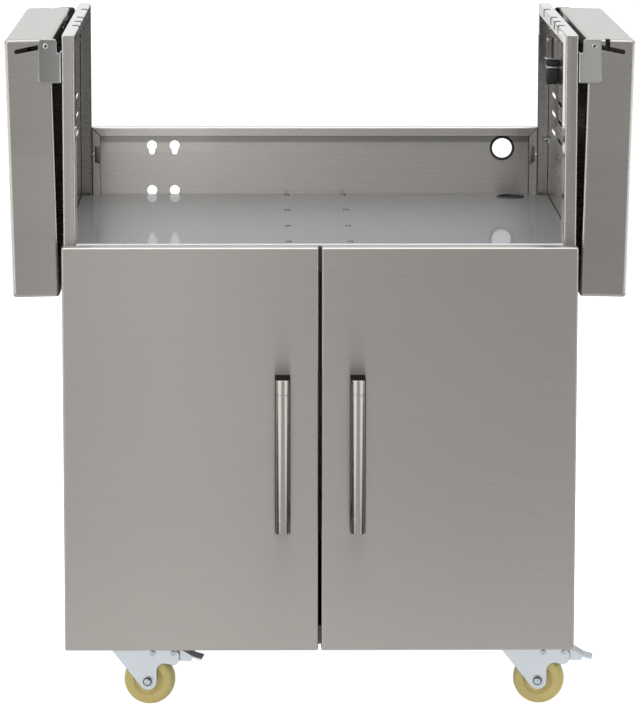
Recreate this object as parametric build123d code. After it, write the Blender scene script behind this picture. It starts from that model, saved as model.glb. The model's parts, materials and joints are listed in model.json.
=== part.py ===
from build123d import *
import os
from math import cos, radians, sin

# Folded stainless sheet, in millimetres
SHEET = 1.2
BEND = 2.5
SEAT_GAP = 0.1
HOLE_GAP = 0.06
RUN_GAP = 0.08
CLEAR = 0.4

# Cabinet
CART_WIDTH = 730.0
PANEL_DEPTH = 570.0
PANEL_TOP = 987.0
CASTER_HEIGHT = 105.0
STILE = 18.0
FRONT_LIP = 48.0
BACK_LIP = 22.0
TOP_LIP = 16.0
BOTTOM_LIP = 26.0

# Air vents in both walls: rows and columns of round-ended slots
VENT_LENGTH = 82.0
VENT_WIDTH = 6.4
VENT_DEPTHS = (328.0, 455.0)
VENT_DROP = 132.0
VENT_PITCH = 28.5
VENT_ROWS = 3

# Hook notches along the top inner edge of each side panel
NOTCH_DEPTHS = (156.0, 229.0, 302.0, 448.0)
NOTCH_LENGTH = 19.0
NOTCH_WIDTH = 9.6
NOTCH_DROP = 12.0

# Grill deck, its stiffener and the flush rivets
DECK_Z = 689.5
DECK_APRON = 39.5
DECK_RETURN = 15.0
DECK_SIDE_DROP = 20.0
HAT_TOP = 62.0
HAT_BRIM = 26.0
HAT_DEPTH = 25.0
HAT_END_GAP = 12.0
RIVET_DEPTHS = (20.5, 190.0, 370.0, 550.0)
RIVET_HEAD_R = 4.5
RIVET_HEAD_T = 0.7
RIVET_R = 2.4
RIVET_TAIL_R = 3.6
RIVET_TAIL_T = 1.4

# Base pan
BASE_RIM = 28.0

# Back panels, keyholes and hose ports; drops count down from the upper panel's top
BACK_RISE = 106.0
BACK_DEPTH = 16.0
BACK_LIP_TOP = 13.8
BACK_LIP_SIDE = 13.0
BACK_SPLIT_DROP = 41.5
KEYHOLE_X = (-253.5, -218.2)
KEYHOLE_ROW_DROPS = (30.1, 100.2)
KEYHOLE_R = 7.8
KEYHOLE_NECK = 9.3
KEYHOLE_DROP = 14.2
LOWER_VENT_X = (-190.0, -95.0, 95.0, 190.0)
LOWER_VENT_RISE = 85.0
BACK_PORT_X = 292.0
BACK_PORT_DROP = 34.2
BACK_PORT_BORE = 15.4
BACK_PORT_FLANGE = 19.2
DECK_PORT_X = 303.4
DECK_PORT_MARGIN = 0.6
DECK_PORT_BORE = 17.5
DECK_PORT_FLANGE = 21.7
GROMMET_NECK = 1.7
GROMMET_FLANGE_T = 2.2
BACK_SCREW_DROP = 70.5
BACK_SCREW_INSETS = (48.0, 268.0)
BACK_SCREW_RISE = 65.0
SCREW_R = 2.0
SCREW_HEAD_R = 4.0
SCREW_HEAD_T = 2.2
SCREW_DOME = 0.55
SCREW_TAIL = 3.0

# Connector block and bracket on the right wall
CONNECTOR_DEPTH = 372.0
CONNECTOR_LENGTH = 30.0
CONNECTOR_WIDTH = 17.5
CONNECTOR_DROP = 70.0
CONNECTOR_HEIGHT = 37.0
CONNECTOR_BAND_DROP = 9.5
CONNECTOR_BAND_HEIGHT = 4.0
CONNECTOR_BAND_STEP = 0.9
STRAP_HEIGHT = 36.0
STRAP_T = 1.6
STRAP_SLIT = 2.4
STRAP_SLIT_MARGIN = 9.0

# Doors
DOOR_BELOW_DECK = 2.0
DOOR_BELOW_BASE = 3.0
DOOR_OVERHANG = 1.5
DOOR_SPLIT = 4.4
DOOR_THICKNESS = 24.0
DOOR_GAP = 2.5
DOOR_SHEET = 1.0
DOOR_LIP = 18.0
HINGE_INSET = 7.0
HINGE_FROM_BACK = 15.0
HINGE_PIN_R = 3.0
HINGE_COLLAR_R = 5.0
HINGE_EYE_R = 6.0
HINGE_ARM_WIDTH = 7.0
HINGE_ARM_T = 3.0
HINGE_ARM_INSET = 10.0
HINGE_LEG_HEIGHT = 30.0
HINGE_LEG_DEPTH = (4.0, 30.0)
HINGE_LEG_T = 3.0
HINGE_NOTCH_GAP = 1.0
CATCH_WIDTH = 46.0
CATCH_HEIGHT = 16.0
CATCH_DEPTH = 18.0
CATCH_FROM_LIP = 8.0
CATCH_AIR = 0.4
STRIKE_T = 2.0
STRIKE_MARGIN = 2.0

# Door handles
HANDLE_X = 53.5
HANDLE_DROP = 182.5
HANDLE_LENGTH = 222.0
HANDLE_R = 11.0
HANDLE_WALL = 1.5
HANDLE_REACH = 50.0
POST_HEIGHT = 21.4
POST_EDGE = 0.5
GRIP_TENON = 6.0
HANDLE_SCREW_R = 3.0
HANDLE_SCREW_DEPTH = 16.0
HANDLE_SCREW_HEAD_R = 5.5
HANDLE_SCREW_HEAD_T = 3.5

# Folding shelves
SHELF_THICKNESS = 67.0
SHELF_REACH = 368.0
SHELF_TILT = 1.35
SHELF_BEND = 5.0
SHELF_LIP = 15.0
SHELF_PLATE_GAP = 1.0
SLOT_WIDTH = 6.9
SLOT_IN = (58.3, 9.7)
SLOT_OUT = (17.5, 17.3)
ENTRY_U = 39.3
ENTRY_REACH = 14.0
RIB_WIDTH = 44.0
RIB_BRIM = 14.0
RIB_DEPTH = 18.0
RIB_END_GAP = 14.0

# Shelf brackets, pins and bumpers; brackets count out from the wall and up from their own foot
PIN_FROM_WALL = 22.5
PIN_DROP = 16.0
PIN_R = 3.0
PIN_HEAD_R = 3.9
PIN_HEAD_FLAT_R = 2.6
PIN_HEAD_T = 1.5
PIN_KEEPER_R = 5.0
PIN_KEEPER_T = 1.5
BRACKET_T = 2.5
BRACKET_FROM_WALL = 6.5
BRACKET_WIDTH = 26.5
BRACKET_HEIGHT = 62.5
BRACKET_ABOVE_PIN = 10.0
BRACKET_CORNER = 5.0
BRACKET_EDGE = 1.2
BRACKET_FOLD = 4.0
BRACKET_LEG_HEIGHT = 43.0
BRACKET_LEG_DEPTH = 40.0
BRACKET_SCREWS = ((14.0, 12.5), (30.0, 31.5))
BUMPER_R = 6.0
BUMPER_AIR = 0.35
BUMPER_FROM_END = 7.5
BUMPER_DEPTHS = (90.0, 480.0)

# Casters, about the swivel axis
CASTER_X = 285.0
CASTER_INSET = 77.0
CASTER_TRAIL = 38.0
CASTER_YAW = {"front_left": -7.5, "front_right": -7.5, "rear_left": -5.0, "rear_right": -10.0}
WHEEL_R = 37.5
WHEEL_WIDTH = 32.0
WHEEL_SHOULDER_R = 32.5
WHEEL_RIM_R = 20.5
WHEEL_HUB_R = 12.0
WHEEL_HUB_ROOT_R = 13.0
WHEEL_DISH = 3.0
CHEEK_GAP = 2.5
CHEEK_T = 2.5
AXLE_R = 4.0
AXLE_BOSS_R = 13.0
WASHER_R = 8.0
WASHER_T = 1.5
AXLE_HEAD_R = 6.2
AXLE_HEAD_T = 4.0
PLATE_LENGTH = 92.0
PLATE_WIDTH = 66.0
PLATE_T = 3.0
PLATE_CORNER = 7.0
PLATE_HOLES = (37.0, 24.0)
BOLT_R = 3.9
BOLT_HEAD_R = 7.0
BOLT_HEAD_T = 4.5
NUT_T = 5.0
RACE_R = 24.0
RACE_T = 5.0
DISH_R = 27.0
DISH_T = 5.0
CROWN_T = 2.5
FORK_BEND = 2.0
KING_R = 6.0
KING_HEAD_R = 10.0
KING_HEAD_T = 3.0
FORK_LEAD = -22.0
FORK_CROWN_END = 58.0
FORK_RAKE = 37.0
FORK_ARM_REACH = 46.0
FORK_ARM_SLOPE = 10.0
FORK_ARM_RISE = 28.5
FORK_ARM_DIP = 4.0
FORK_ARM_ROUND = 8.0
FORK_SCOOP_R = 11.0
FORK_RIVET = (8.0, 42.0)
BRAKE_PIVOT = (38.3, 42.8)
BRAKE_PIN_R = 2.5
BRAKE_HEAD_R = 4.4
BRAKE_HEAD_FLAT_R = 3.0

# Brake pedal, about its pivot: the sheet's middle line from the shoe to the foot plate, and the ears' foot
PEDAL_WIDTH = 30.0
PEDAL_T = 2.5
PEDAL_EAR_T = 2.5
PEDAL_LINE = ((-4.0, -19.0), (-9.5, -4.0), (-7.5, 5.0), (3.0, 6.0), (14.0, 1.5), (27.0, -6.0), (40.0, -9.5))
PEDAL_EAR_FOOT = ((25.0, -12.0), (7.0, -12.0))

# Places that follow from the sizes above; depths count back from the front plane
WALL_OUT = CART_WIDTH / 2
WALL_IN = WALL_OUT - SHEET
LIP_X = WALL_OUT - STILE
FRONT_REACH = DOOR_GAP + DOOR_THICKNESS + HANDLE_REACH
REAR_REACH = PANEL_DEPTH + PIN_HEAD_T
FRONT_Y = (FRONT_REACH - REAR_REACH) / 2
BACK_Y = FRONT_Y + PANEL_DEPTH
BACK_SHEET_Y = BACK_Y - SHEET - SEAT_GAP
BACK_FRONT_Y = BACK_SHEET_Y - BACK_DEPTH
BETWEEN_LIPS = LIP_X - SEAT_GAP
BACK_TOP = DECK_Z + BACK_RISE
BACK_SPLIT_Z = DECK_Z - BACK_SPLIT_DROP
BACK_PORT_Z = BACK_TOP - BACK_PORT_DROP
DECK_PORT_Z = DECK_Z - GROMMET_FLANGE_T - SEAT_GAP
DECK_PORT_SEAT = DECK_PORT_FLANGE + CLEAR
DECK_PORT_Y = BACK_FRONT_Y - SEAT_GAP - DECK_PORT_MARGIN - SHEET - DECK_PORT_SEAT
CONNECTOR_Z = (PANEL_TOP - CONNECTOR_DROP - CONNECTOR_HEIGHT, PANEL_TOP - CONNECTOR_DROP)
STRAP_TOP = CONNECTOR_Z[1] + STRAP_HEIGHT
DOOR_TOP = DECK_Z - DOOR_BELOW_DECK
DOOR_BOTTOM = CASTER_HEIGHT - DOOR_BELOW_BASE
HANDLE_Z = (DOOR_TOP - HANDLE_DROP - HANDLE_LENGTH, DOOR_TOP - HANDLE_DROP)
PIN_X = WALL_OUT + PIN_FROM_WALL
PIN_Z = PANEL_TOP - PIN_DROP
BRACKET_X = (WALL_OUT + BRACKET_FROM_WALL, WALL_OUT + BRACKET_FROM_WALL + BRACKET_WIDTH)
BRACKET_Z = (PIN_Z + BRACKET_ABOVE_PIN - BRACKET_HEIGHT, PIN_Z + BRACKET_ABOVE_PIN)
DOOR_OUT = WALL_OUT + DOOR_OVERHANG
DOOR_BACK_Y = FRONT_Y - DOOR_GAP
DOOR_FRONT_Y = DOOR_BACK_Y - DOOR_THICKNESS
LINER_Y = DOOR_BACK_Y - DOOR_SHEET - SEAT_GAP
HINGE_X = DOOR_OUT - HINGE_INSET
HINGE_Y = DOOR_BACK_Y - HINGE_FROM_BACK
SHELF_FRONT_Y = FRONT_Y + BRACKET_T + SHELF_PLATE_GAP
SHELF_BACK_Y = BACK_Y - BRACKET_T - SHELF_PLATE_GAP
MIDDLE_Y = (FRONT_Y + BACK_Y) / 2
CROWN_Z = CASTER_HEIGHT - PLATE_T - RACE_T - CLEAR - DISH_T
CHEEK_IN = WHEEL_WIDTH / 2 + CHEEK_GAP
CHEEK_OUT = CHEEK_IN + CHEEK_T


def block(x, y, z):
    """Box between two limits on each axis."""
    limits = (x, y, z)
    middle = [(low + high) / 2 for low, high in limits]
    return Pos(*middle) * Box(*[high - low for low, high in limits])


def rod(start, direction, radius, length):
    """Round bar from a point along a direction."""
    seat = Plane(origin=start, z_dir=direction)
    return seat * Cylinder(radius, length, align=(Align.CENTER, Align.CENTER, Align.MIN))


def folded_box(x, y, z, sheet, bend):
    """Closed hollow box of thin sheet with rounded bends."""
    limits = (x, y, z)
    inside = [(low + sheet, high - sheet) for low, high in limits]
    shell = fillet(block(*limits).edges(), bend)
    return shell - fillet(block(*inside).edges(), bend - sheet)


def depth_slot(x, y, z, length, width, through):
    """Round-ended cutter along the depth, pushed through in X."""
    outline = Plane(origin=(x, y, z), x_dir=(0, 1, 0), z_dir=(1, 0, 0)) * SlotOverall(length, width)
    return extrude(outline, through / 2, both=True)


def round_piece(axis_at, profile, axis):
    """Turned piece: (radius, height) corners spun about an axis through a point."""
    outline = Polyline(*profile, close=True)
    turned = revolve(make_face(Plane.XZ * outline), Axis.Z)
    return Plane(origin=axis_at, z_dir=axis) * turned


def both_sides(piece):
    """A right-hand piece and its left-hand mirror image."""
    return [piece, mirror(piece, about=Plane.YZ)]


def group(pieces):
    """Separate solids that share one node."""
    return Compound(children=[solid for piece in pieces for solid in piece.solids()])


def side_panel():
    """Right side panel: a tray open inwards, with vents, hook notches and hinge slots."""
    panel = folded_box((LIP_X, WALL_OUT), (FRONT_Y, BACK_Y), (CASTER_HEIGHT, PANEL_TOP), SHEET, BEND)
    panel -= block((LIP_X - SHEET, LIP_X + 2 * SHEET), (FRONT_Y + FRONT_LIP, BACK_Y - BACK_LIP),
                   (CASTER_HEIGHT + BOTTOM_LIP, PANEL_TOP - TOP_LIP))
    for depth in VENT_DEPTHS:
        for row in range(VENT_ROWS):
            height = PANEL_TOP - VENT_DROP - row * VENT_PITCH
            panel -= depth_slot(WALL_OUT, FRONT_Y + depth, height, VENT_LENGTH, VENT_WIDTH, 4 * SHEET)
    for depth in NOTCH_DEPTHS:
        start = FRONT_Y + depth - NOTCH_LENGTH / 2
        panel -= block((LIP_X - SHEET, LIP_X + NOTCH_WIDTH), (start, start + NOTCH_LENGTH),
                       (PANEL_TOP - NOTCH_DROP, PANEL_TOP + SHEET))
    for low, high in hinge_arm_heights():
        half = HINGE_ARM_WIDTH / 2 + CLEAR
        panel -= block((HINGE_X - half, HINGE_X + half), (FRONT_Y - SHEET, FRONT_Y + BEND),
                       (low - CLEAR, high + CLEAR))
    for start, _ in bracket_screw_places():
        panel -= rod((WALL_IN - SHEET, start[1], start[2]), (1, 0, 0), SCREW_R + HOLE_GAP, 3 * SHEET)
    for height in back_screw_heights():
        panel -= rod((LIP_X - SHEET, back_screw_y(), height), (1, 0, 0), SCREW_R + HOLE_GAP, 3 * SHEET)
    return panel


def grill_deck():
    """Deck sheet with a front apron, side skirts, rivet seats and a pressed seat for the hose grommet."""
    top = (DECK_Z - SHEET, DECK_Z)
    skirt_y = (FRONT_Y + FRONT_LIP + CLEAR, BACK_Y - BACK_LIP - CLEAR)
    wide = WALL_IN - SEAT_GAP
    lip_clear = LIP_X - SEAT_GAP - BACK_LIP_SIDE - CLEAR
    across = (-BETWEEN_LIPS, BETWEEN_LIPS)
    apron_low = DECK_Z - DECK_APRON
    deck = block(across, (FRONT_Y, BACK_FRONT_Y - SEAT_GAP), top)
    deck += block((-wide, wide), skirt_y, top)
    deck += block((-lip_clear, lip_clear), (skirt_y[1], BACK_SHEET_Y - SHEET - CLEAR), top)
    deck += block(across, (FRONT_Y, FRONT_Y + SHEET), (apron_low, DECK_Z))
    deck += block(across, (FRONT_Y, FRONT_Y + DECK_RETURN), (apron_low, apron_low + SHEET))
    for side in (-1, 1):
        skirt_x = sorted((side * wide, side * (wide - SHEET)))
        deck += block(skirt_x, skirt_y, (DECK_Z - DECK_SIDE_DROP, DECK_Z))
    front_bends = [edge for edge in deck.edges().filter_by(Axis.X)
                   if abs(edge.center().Y - FRONT_Y) < SHEET / 2]
    deck = fillet(front_bends, BEND)
    side_bends = [edge for edge in deck.edges().filter_by(Axis.Y)
                  if abs(abs(edge.center().X) - wide) < SHEET / 2
                  and abs(edge.center().Z - DECK_Z) < SHEET / 2]
    deck = fillet(side_bends, BEND)
    for x, y in rivet_places():
        deck -= rod((x, y, DECK_Z - 2 * SHEET), (0, 0, 1), RIVET_R + HOLE_GAP, 3 * SHEET)
        deck -= rod((x, y, DECK_Z - RIVET_HEAD_T), (0, 0, 1), RIVET_HEAD_R + HOLE_GAP, SHEET)
    return deck_port_seat(deck)


def deck_port_seat(deck):
    """Presses a round seat into the deck, so that the hose grommet lies flush, and bores its hole."""
    x, y = DECK_PORT_X, DECK_PORT_Y
    floor_z = DECK_PORT_Z - SHEET
    bore = DECK_PORT_BORE + GROMMET_NECK + HOLE_GAP
    deck += rod((x, y, floor_z), (0, 0, 1), DECK_PORT_SEAT + SHEET, DECK_Z - floor_z)
    deck -= rod((x, y, DECK_PORT_Z), (0, 0, 1), DECK_PORT_SEAT, DECK_Z - DECK_PORT_Z + SHEET)
    return deck - rod((x, y, floor_z - SHEET), (0, 0, 1), bore, 3 * SHEET)


def rivet_places():
    """Two rows of rivets, one in each brim of the deck stiffener."""
    offset = (HAT_TOP + HAT_BRIM) / 2
    return [(side * offset, FRONT_Y + depth) for depth in RIVET_DEPTHS for side in (-1, 1)]


def hat_section(top, brim, depth, sheet, length):
    """Hat channel along Y from Y = 0: brims at Z = 0, the crown hanging below."""
    half = top / 2
    line = Polyline((-half - brim, -sheet / 2), (-half + sheet / 2, -sheet / 2),
                    (-half + sheet / 2, sheet / 2 - depth), (half - sheet / 2, sheet / 2 - depth),
                    (half - sheet / 2, -sheet / 2), (half + brim, -sheet / 2))
    face = trace(line, sheet)
    return extrude(Plane(origin=(0, 0, 0), x_dir=(1, 0, 0), z_dir=(0, -1, 0)) * face, -length)


def deck_stiffener():
    """Hat channel riveted under the middle of the deck, from front to back."""
    front = FRONT_Y + RIVET_DEPTHS[0] - HAT_END_GAP
    back = FRONT_Y + RIVET_DEPTHS[-1] + HAT_END_GAP
    hat = Pos(0, front, DECK_Z - SHEET) * hat_section(HAT_TOP, HAT_BRIM, HAT_DEPTH, SHEET, back - front)
    for x, y in rivet_places():
        hat -= rod((x, y, DECK_Z - 4 * SHEET), (0, 0, 1), RIVET_R + HOLE_GAP, 4 * SHEET)
    return hat


def deck_rivet(place):
    """Flush rivet through the deck and a stiffener brim."""
    grip = 2 * SHEET
    profile = ((0, 0), (RIVET_HEAD_R, 0), (RIVET_HEAD_R, -RIVET_HEAD_T), (RIVET_R, -RIVET_HEAD_T),
               (RIVET_R, -grip), (RIVET_TAIL_R, -grip), (RIVET_TAIL_R, -grip - RIVET_TAIL_T),
               (0, -grip - RIVET_TAIL_T))
    return round_piece((place[0], place[1], DECK_Z), profile, (0, 0, 1))


def base_pan():
    """Floor tray with an up-turned rim and the caster bolt holes."""
    x = (-BETWEEN_LIPS, BETWEEN_LIPS)
    y = (FRONT_Y, BACK_FRONT_Y - SEAT_GAP)
    top = CASTER_HEIGHT + BASE_RIM
    pan = folded_box(x, y, (CASTER_HEIGHT, top + 2 * BEND), SHEET, BEND)
    pan -= block((x[0] - SHEET, x[1] + SHEET), (y[0] - SHEET, y[1] + SHEET), (top, top + 3 * BEND))
    for place in bolt_places():
        pan -= rod((*place, CASTER_HEIGHT - SHEET), (0, 0, 1), BOLT_R + HOLE_GAP, 3 * SHEET)
    return pan


def back_tray(low, high, front_lip_top):
    """Back panel between the side panels, open to the front inside its lips."""
    x = (-BETWEEN_LIPS, BETWEEN_LIPS)
    tray = folded_box(x, (BACK_FRONT_Y, BACK_SHEET_Y), (low, high), SHEET, BEND)
    tray -= block((x[0] + BACK_LIP_SIDE, x[1] - BACK_LIP_SIDE),
                  (BACK_FRONT_Y - SHEET, BACK_FRONT_Y + 2 * SHEET),
                  (low + front_lip_top, high - front_lip_top))
    for height in back_screw_heights():
        if low < height < high:
            start = (-BETWEEN_LIPS - SHEET, back_screw_y(), height)
            tray -= rod(start, (1, 0, 0), SCREW_R + HOLE_GAP, 2 * (BETWEEN_LIPS + SHEET))
    return tray


def upper_back_panel():
    """Back panel above the deck, with hanging keyholes and the hose port."""
    panel = back_tray(BACK_SPLIT_Z, BACK_TOP, BACK_LIP_TOP)
    cut_y = BACK_SHEET_Y - 2 * SHEET
    neck_r = KEYHOLE_NECK / 2
    for x in KEYHOLE_X:
        for drop in KEYHOLE_ROW_DROPS:
            z = BACK_TOP - drop
            neck_end = z - KEYHOLE_DROP + neck_r
            panel -= rod((x, cut_y, z), (0, 1, 0), KEYHOLE_R, 3 * SHEET)
            panel -= block((x - neck_r, x + neck_r), (cut_y, cut_y + 3 * SHEET), (neck_end, z))
            panel -= rod((x, cut_y, neck_end), (0, 1, 0), neck_r, 3 * SHEET)
    port = (BACK_PORT_X, cut_y, BACK_PORT_Z)
    return panel - rod(port, (0, 1, 0), BACK_PORT_BORE + GROMMET_NECK + HOLE_GAP, 3 * SHEET)


def lower_back_panel():
    """Back panel of the cabinet below the deck, with rows of gas vents."""
    panel = back_tray(CASTER_HEIGHT, BACK_SPLIT_Z - SEAT_GAP, BACK_LIP_SIDE)
    for x in LOWER_VENT_X:
        for row in range(VENT_ROWS):
            middle = (x, BACK_SHEET_Y, CASTER_HEIGHT + LOWER_VENT_RISE - row * VENT_PITCH)
            place = Plane(origin=middle, x_dir=(1, 0, 0), z_dir=(0, 1, 0))
            panel -= extrude(place * SlotOverall(VENT_LENGTH, VENT_WIDTH), 2 * SHEET, both=True)
    return panel


def grommet(place, axis, bore, flange):
    """Rubber ring with a groove that holds the edge of a sheet; the sheet's outer face is at the place."""
    neck = bore + GROMMET_NECK
    inside = -SHEET - HOLE_GAP
    profile = ((bore, GROMMET_FLANGE_T), (flange - GROMMET_FLANGE_T / 2, GROMMET_FLANGE_T),
               (flange, GROMMET_FLANGE_T / 2), (flange, HOLE_GAP), (neck, HOLE_GAP), (neck, inside),
               (flange, inside), (flange, inside - GROMMET_FLANGE_T / 2),
               (flange - GROMMET_FLANGE_T / 2, inside - GROMMET_FLANGE_T), (bore, inside - GROMMET_FLANGE_T))
    return round_piece(place, profile, axis)


def screw(start, direction, grip, head_r=SCREW_HEAD_R, head_t=SCREW_HEAD_T, radius=SCREW_R, tail=SCREW_TAIL):
    """Low domed screw: head on the near face at the start, shank through the grip and out behind."""
    slope = head_t * SCREW_DOME
    profile = ((0, -head_t), (head_r - slope, -head_t), (head_r, slope - head_t), (head_r, 0), (radius, 0),
               (radius, grip + tail), (0, grip + tail))
    return round_piece(start, profile, direction)


def back_screw_y():
    """Depth of the screws that join the back panels to the side panels."""
    return (BACK_FRONT_Y + BACK_SHEET_Y) / 2


def back_screw_heights():
    """Heights of those screws: one row in the upper panel and three in the lower one."""
    lower = [BACK_SPLIT_Z - inset for inset in BACK_SCREW_INSETS]
    return [BACK_TOP - BACK_SCREW_DROP, *lower, CASTER_HEIGHT + BACK_SCREW_RISE]


def back_panel_screws():
    """Screws from inside the back trays into the rear lips of both side panels."""
    start_x = BETWEEN_LIPS - SHEET - HOLE_GAP
    grip = 2 * SHEET + SEAT_GAP
    right = [screw((start_x, back_screw_y(), height), (1, 0, 0), grip) for height in back_screw_heights()]
    return group([piece for one in right for piece in both_sides(one)])


def connector_bracket():
    """Strap on the right wall that carries the connector: slit face, shelf and a leg along the wall."""
    front = FRONT_Y + CONNECTOR_DEPTH
    back = front + CONNECTOR_LENGTH
    inner = WALL_IN - CONNECTOR_WIDTH
    low = CONNECTOR_Z[1] + SEAT_GAP
    wall = WALL_IN - SEAT_GAP
    strap = block((inner, wall), (front, front + STRAP_T), (low, STRAP_TOP))
    strap += block((inner, wall), (front, back), (low, low + STRAP_T))
    strap += block((wall - STRAP_T, wall), (front, back), (low, STRAP_TOP))
    slit_x = (inner + wall - STRAP_SLIT) / 2
    return strap - block((slit_x, slit_x + STRAP_SLIT), (front - STRAP_T, front + 2 * STRAP_T),
                         (low + STRAP_SLIT_MARGIN, STRAP_TOP - STRAP_SLIT_MARGIN))


def connector_block():
    """Moulded two-part plug body under the strap, with a step between the halves."""
    front = FRONT_Y + CONNECTOR_DEPTH
    x = (WALL_IN - CONNECTOR_WIDTH, WALL_IN - SEAT_GAP)
    y = (front, front + CONNECTOR_LENGTH)
    body = fillet(block(x, y, CONNECTOR_Z).edges(), BEND / 2)
    step = CONNECTOR_BAND_STEP
    band_top = CONNECTOR_Z[1] - CONNECTOR_BAND_DROP
    band_z = (band_top - CONNECTOR_BAND_HEIGHT, band_top)
    ring = block((x[0] - BEND, x[1] + BEND), (y[0] - BEND, y[1] + BEND), band_z)
    core = block((x[0] + step, x[1]), (y[0] + step, y[1] - step), band_z)
    return body - (ring - core)


def hinge_arm_heights():
    """Lower and upper face of the bottom and the top hinge arm."""
    low = DOOR_BOTTOM + HINGE_ARM_INSET
    high = DOOR_TOP - HINGE_ARM_INSET
    return [(low, low + HINGE_ARM_T), (high - HINGE_ARM_T, high)]


def hinge_arm(heights):
    """Right-hand arm: a pin eye in the door, an arm through the stile and a leg on the wall."""
    half = HINGE_ARM_WIDTH / 2
    leg_y = [FRONT_Y + depth for depth in HINGE_LEG_DEPTH]
    middle = sum(heights) / 2
    wall = WALL_IN - SEAT_GAP
    arm = block((HINGE_X - half, HINGE_X + half), (HINGE_Y, leg_y[1]), heights)
    arm += rod((HINGE_X, HINGE_Y, heights[0]), (0, 0, 1), HINGE_EYE_R, HINGE_ARM_T)
    arm += block((min(HINGE_X, wall - HINGE_LEG_T), wall), leg_y, heights)
    arm += block((wall - HINGE_LEG_T, wall), leg_y,
                 (max(middle - HINGE_LEG_HEIGHT / 2, CASTER_HEIGHT + BEND), middle + HINGE_LEG_HEIGHT / 2))
    below = (HINGE_X, HINGE_Y, heights[0] - SHEET)
    return arm - rod(below, (0, 0, 1), HINGE_PIN_R + HOLE_GAP, HINGE_ARM_T + 2 * SHEET)


def hinge_pin(heights, up):
    """Pin riveted in an arm, with a collar that spaces the door's flange from it."""
    reach = HINGE_ARM_INSET - DOOR_SHEET - CLEAR
    end = HINGE_ARM_INSET
    profile = ((0, -HINGE_ARM_T - PIN_HEAD_T), (HINGE_COLLAR_R, -HINGE_ARM_T - PIN_HEAD_T),
               (HINGE_COLLAR_R, -HINGE_ARM_T - HOLE_GAP), (HINGE_PIN_R, -HINGE_ARM_T - HOLE_GAP),
               (HINGE_PIN_R, HOLE_GAP), (HINGE_COLLAR_R, HOLE_GAP), (HINGE_COLLAR_R, reach),
               (HINGE_PIN_R, reach), (HINGE_PIN_R, end), (0, end))
    face = heights[1] if up else heights[0]
    return round_piece((HINGE_X, HINGE_Y, face), profile, (0, 0, 1 if up else -1))


def door_skin():
    """Right door: a folded pan with return lips, cut for the hinge arms and handle screws."""
    x = (DOOR_SPLIT / 2, DOOR_OUT)
    skin = folded_box(x, (DOOR_FRONT_Y, DOOR_BACK_Y), (DOOR_BOTTOM, DOOR_TOP), DOOR_SHEET, BEND)
    skin -= block((x[0] + DOOR_LIP, x[1] - DOOR_LIP),
                  (DOOR_BACK_Y - 2 * DOOR_SHEET, DOOR_BACK_Y + DOOR_SHEET),
                  (DOOR_BOTTOM + DOOR_LIP, DOOR_TOP - DOOR_LIP))
    for heights in hinge_arm_heights():
        skin -= hinge_notch(heights)
    below = (HINGE_X, HINGE_Y, DOOR_BOTTOM - SHEET)
    skin -= rod(below, (0, 0, 1), HINGE_PIN_R + RUN_GAP, DOOR_TOP - DOOR_BOTTOM + 2 * SHEET)
    for height in post_heights():
        skin -= rod((HANDLE_X, DOOR_FRONT_Y - SHEET, height), (0, 1, 0), HANDLE_SCREW_R + HOLE_GAP, 3 * SHEET)
    return skin


def hinge_notch(heights):
    """Room in the door's hinge edge for an arm to swing from straight back to straight out."""
    return block((HINGE_X - HINGE_EYE_R - HINGE_NOTCH_GAP, DOOR_OUT + DOOR_SHEET),
                 (DOOR_FRONT_Y + DOOR_SHEET + HINGE_NOTCH_GAP, DOOR_BACK_Y + DOOR_SHEET),
                 (heights[0] - HINGE_NOTCH_GAP, heights[1] + HINGE_NOTCH_GAP))


def door_liner():
    """Flat inner sheet behind the return lips of the right door."""
    margin = BEND + CLEAR
    liner = block((DOOR_SPLIT / 2 + margin, DOOR_OUT - margin), (LINER_Y - DOOR_SHEET, LINER_Y),
                  (DOOR_BOTTOM + margin, DOOR_TOP - margin))
    for heights in hinge_arm_heights():
        liner -= hinge_notch(heights)
    return liner


def catch_place():
    """X and Z limits of the right door catch, under the deck's front return."""
    left = DOOR_SPLIT / 2 + DOOR_LIP + CATCH_FROM_LIP
    top = DECK_Z - DECK_APRON - SEAT_GAP
    return (left, left + CATCH_WIDTH), (top - CATCH_HEIGHT, top)


def door_catch():
    """Magnet housing that meets the strike on the closed right door."""
    x, z = catch_place()
    face = LINER_Y + STRIKE_T + CATCH_AIR
    housing = block(x, (face, face + CATCH_DEPTH), z)
    return fillet(housing.edges().filter_by(Axis.Z), BEND)


def door_strike():
    """Steel plate on the right door's liner, facing the catch."""
    x, z = catch_place()
    return block((x[0] + STRIKE_MARGIN, x[1] - STRIKE_MARGIN), (LINER_Y, LINER_Y + STRIKE_T),
                 (z[0] + STRIKE_MARGIN, z[1] - STRIKE_MARGIN))


def handle_y():
    """Depth of the grip's axis in front of the door."""
    return DOOR_FRONT_Y - HANDLE_REACH + HANDLE_R


def post_heights():
    """Middle of the lower and the upper handle post."""
    return [HANDLE_Z[0] + POST_HEIGHT / 2, HANDLE_Z[1] - POST_HEIGHT / 2]


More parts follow.
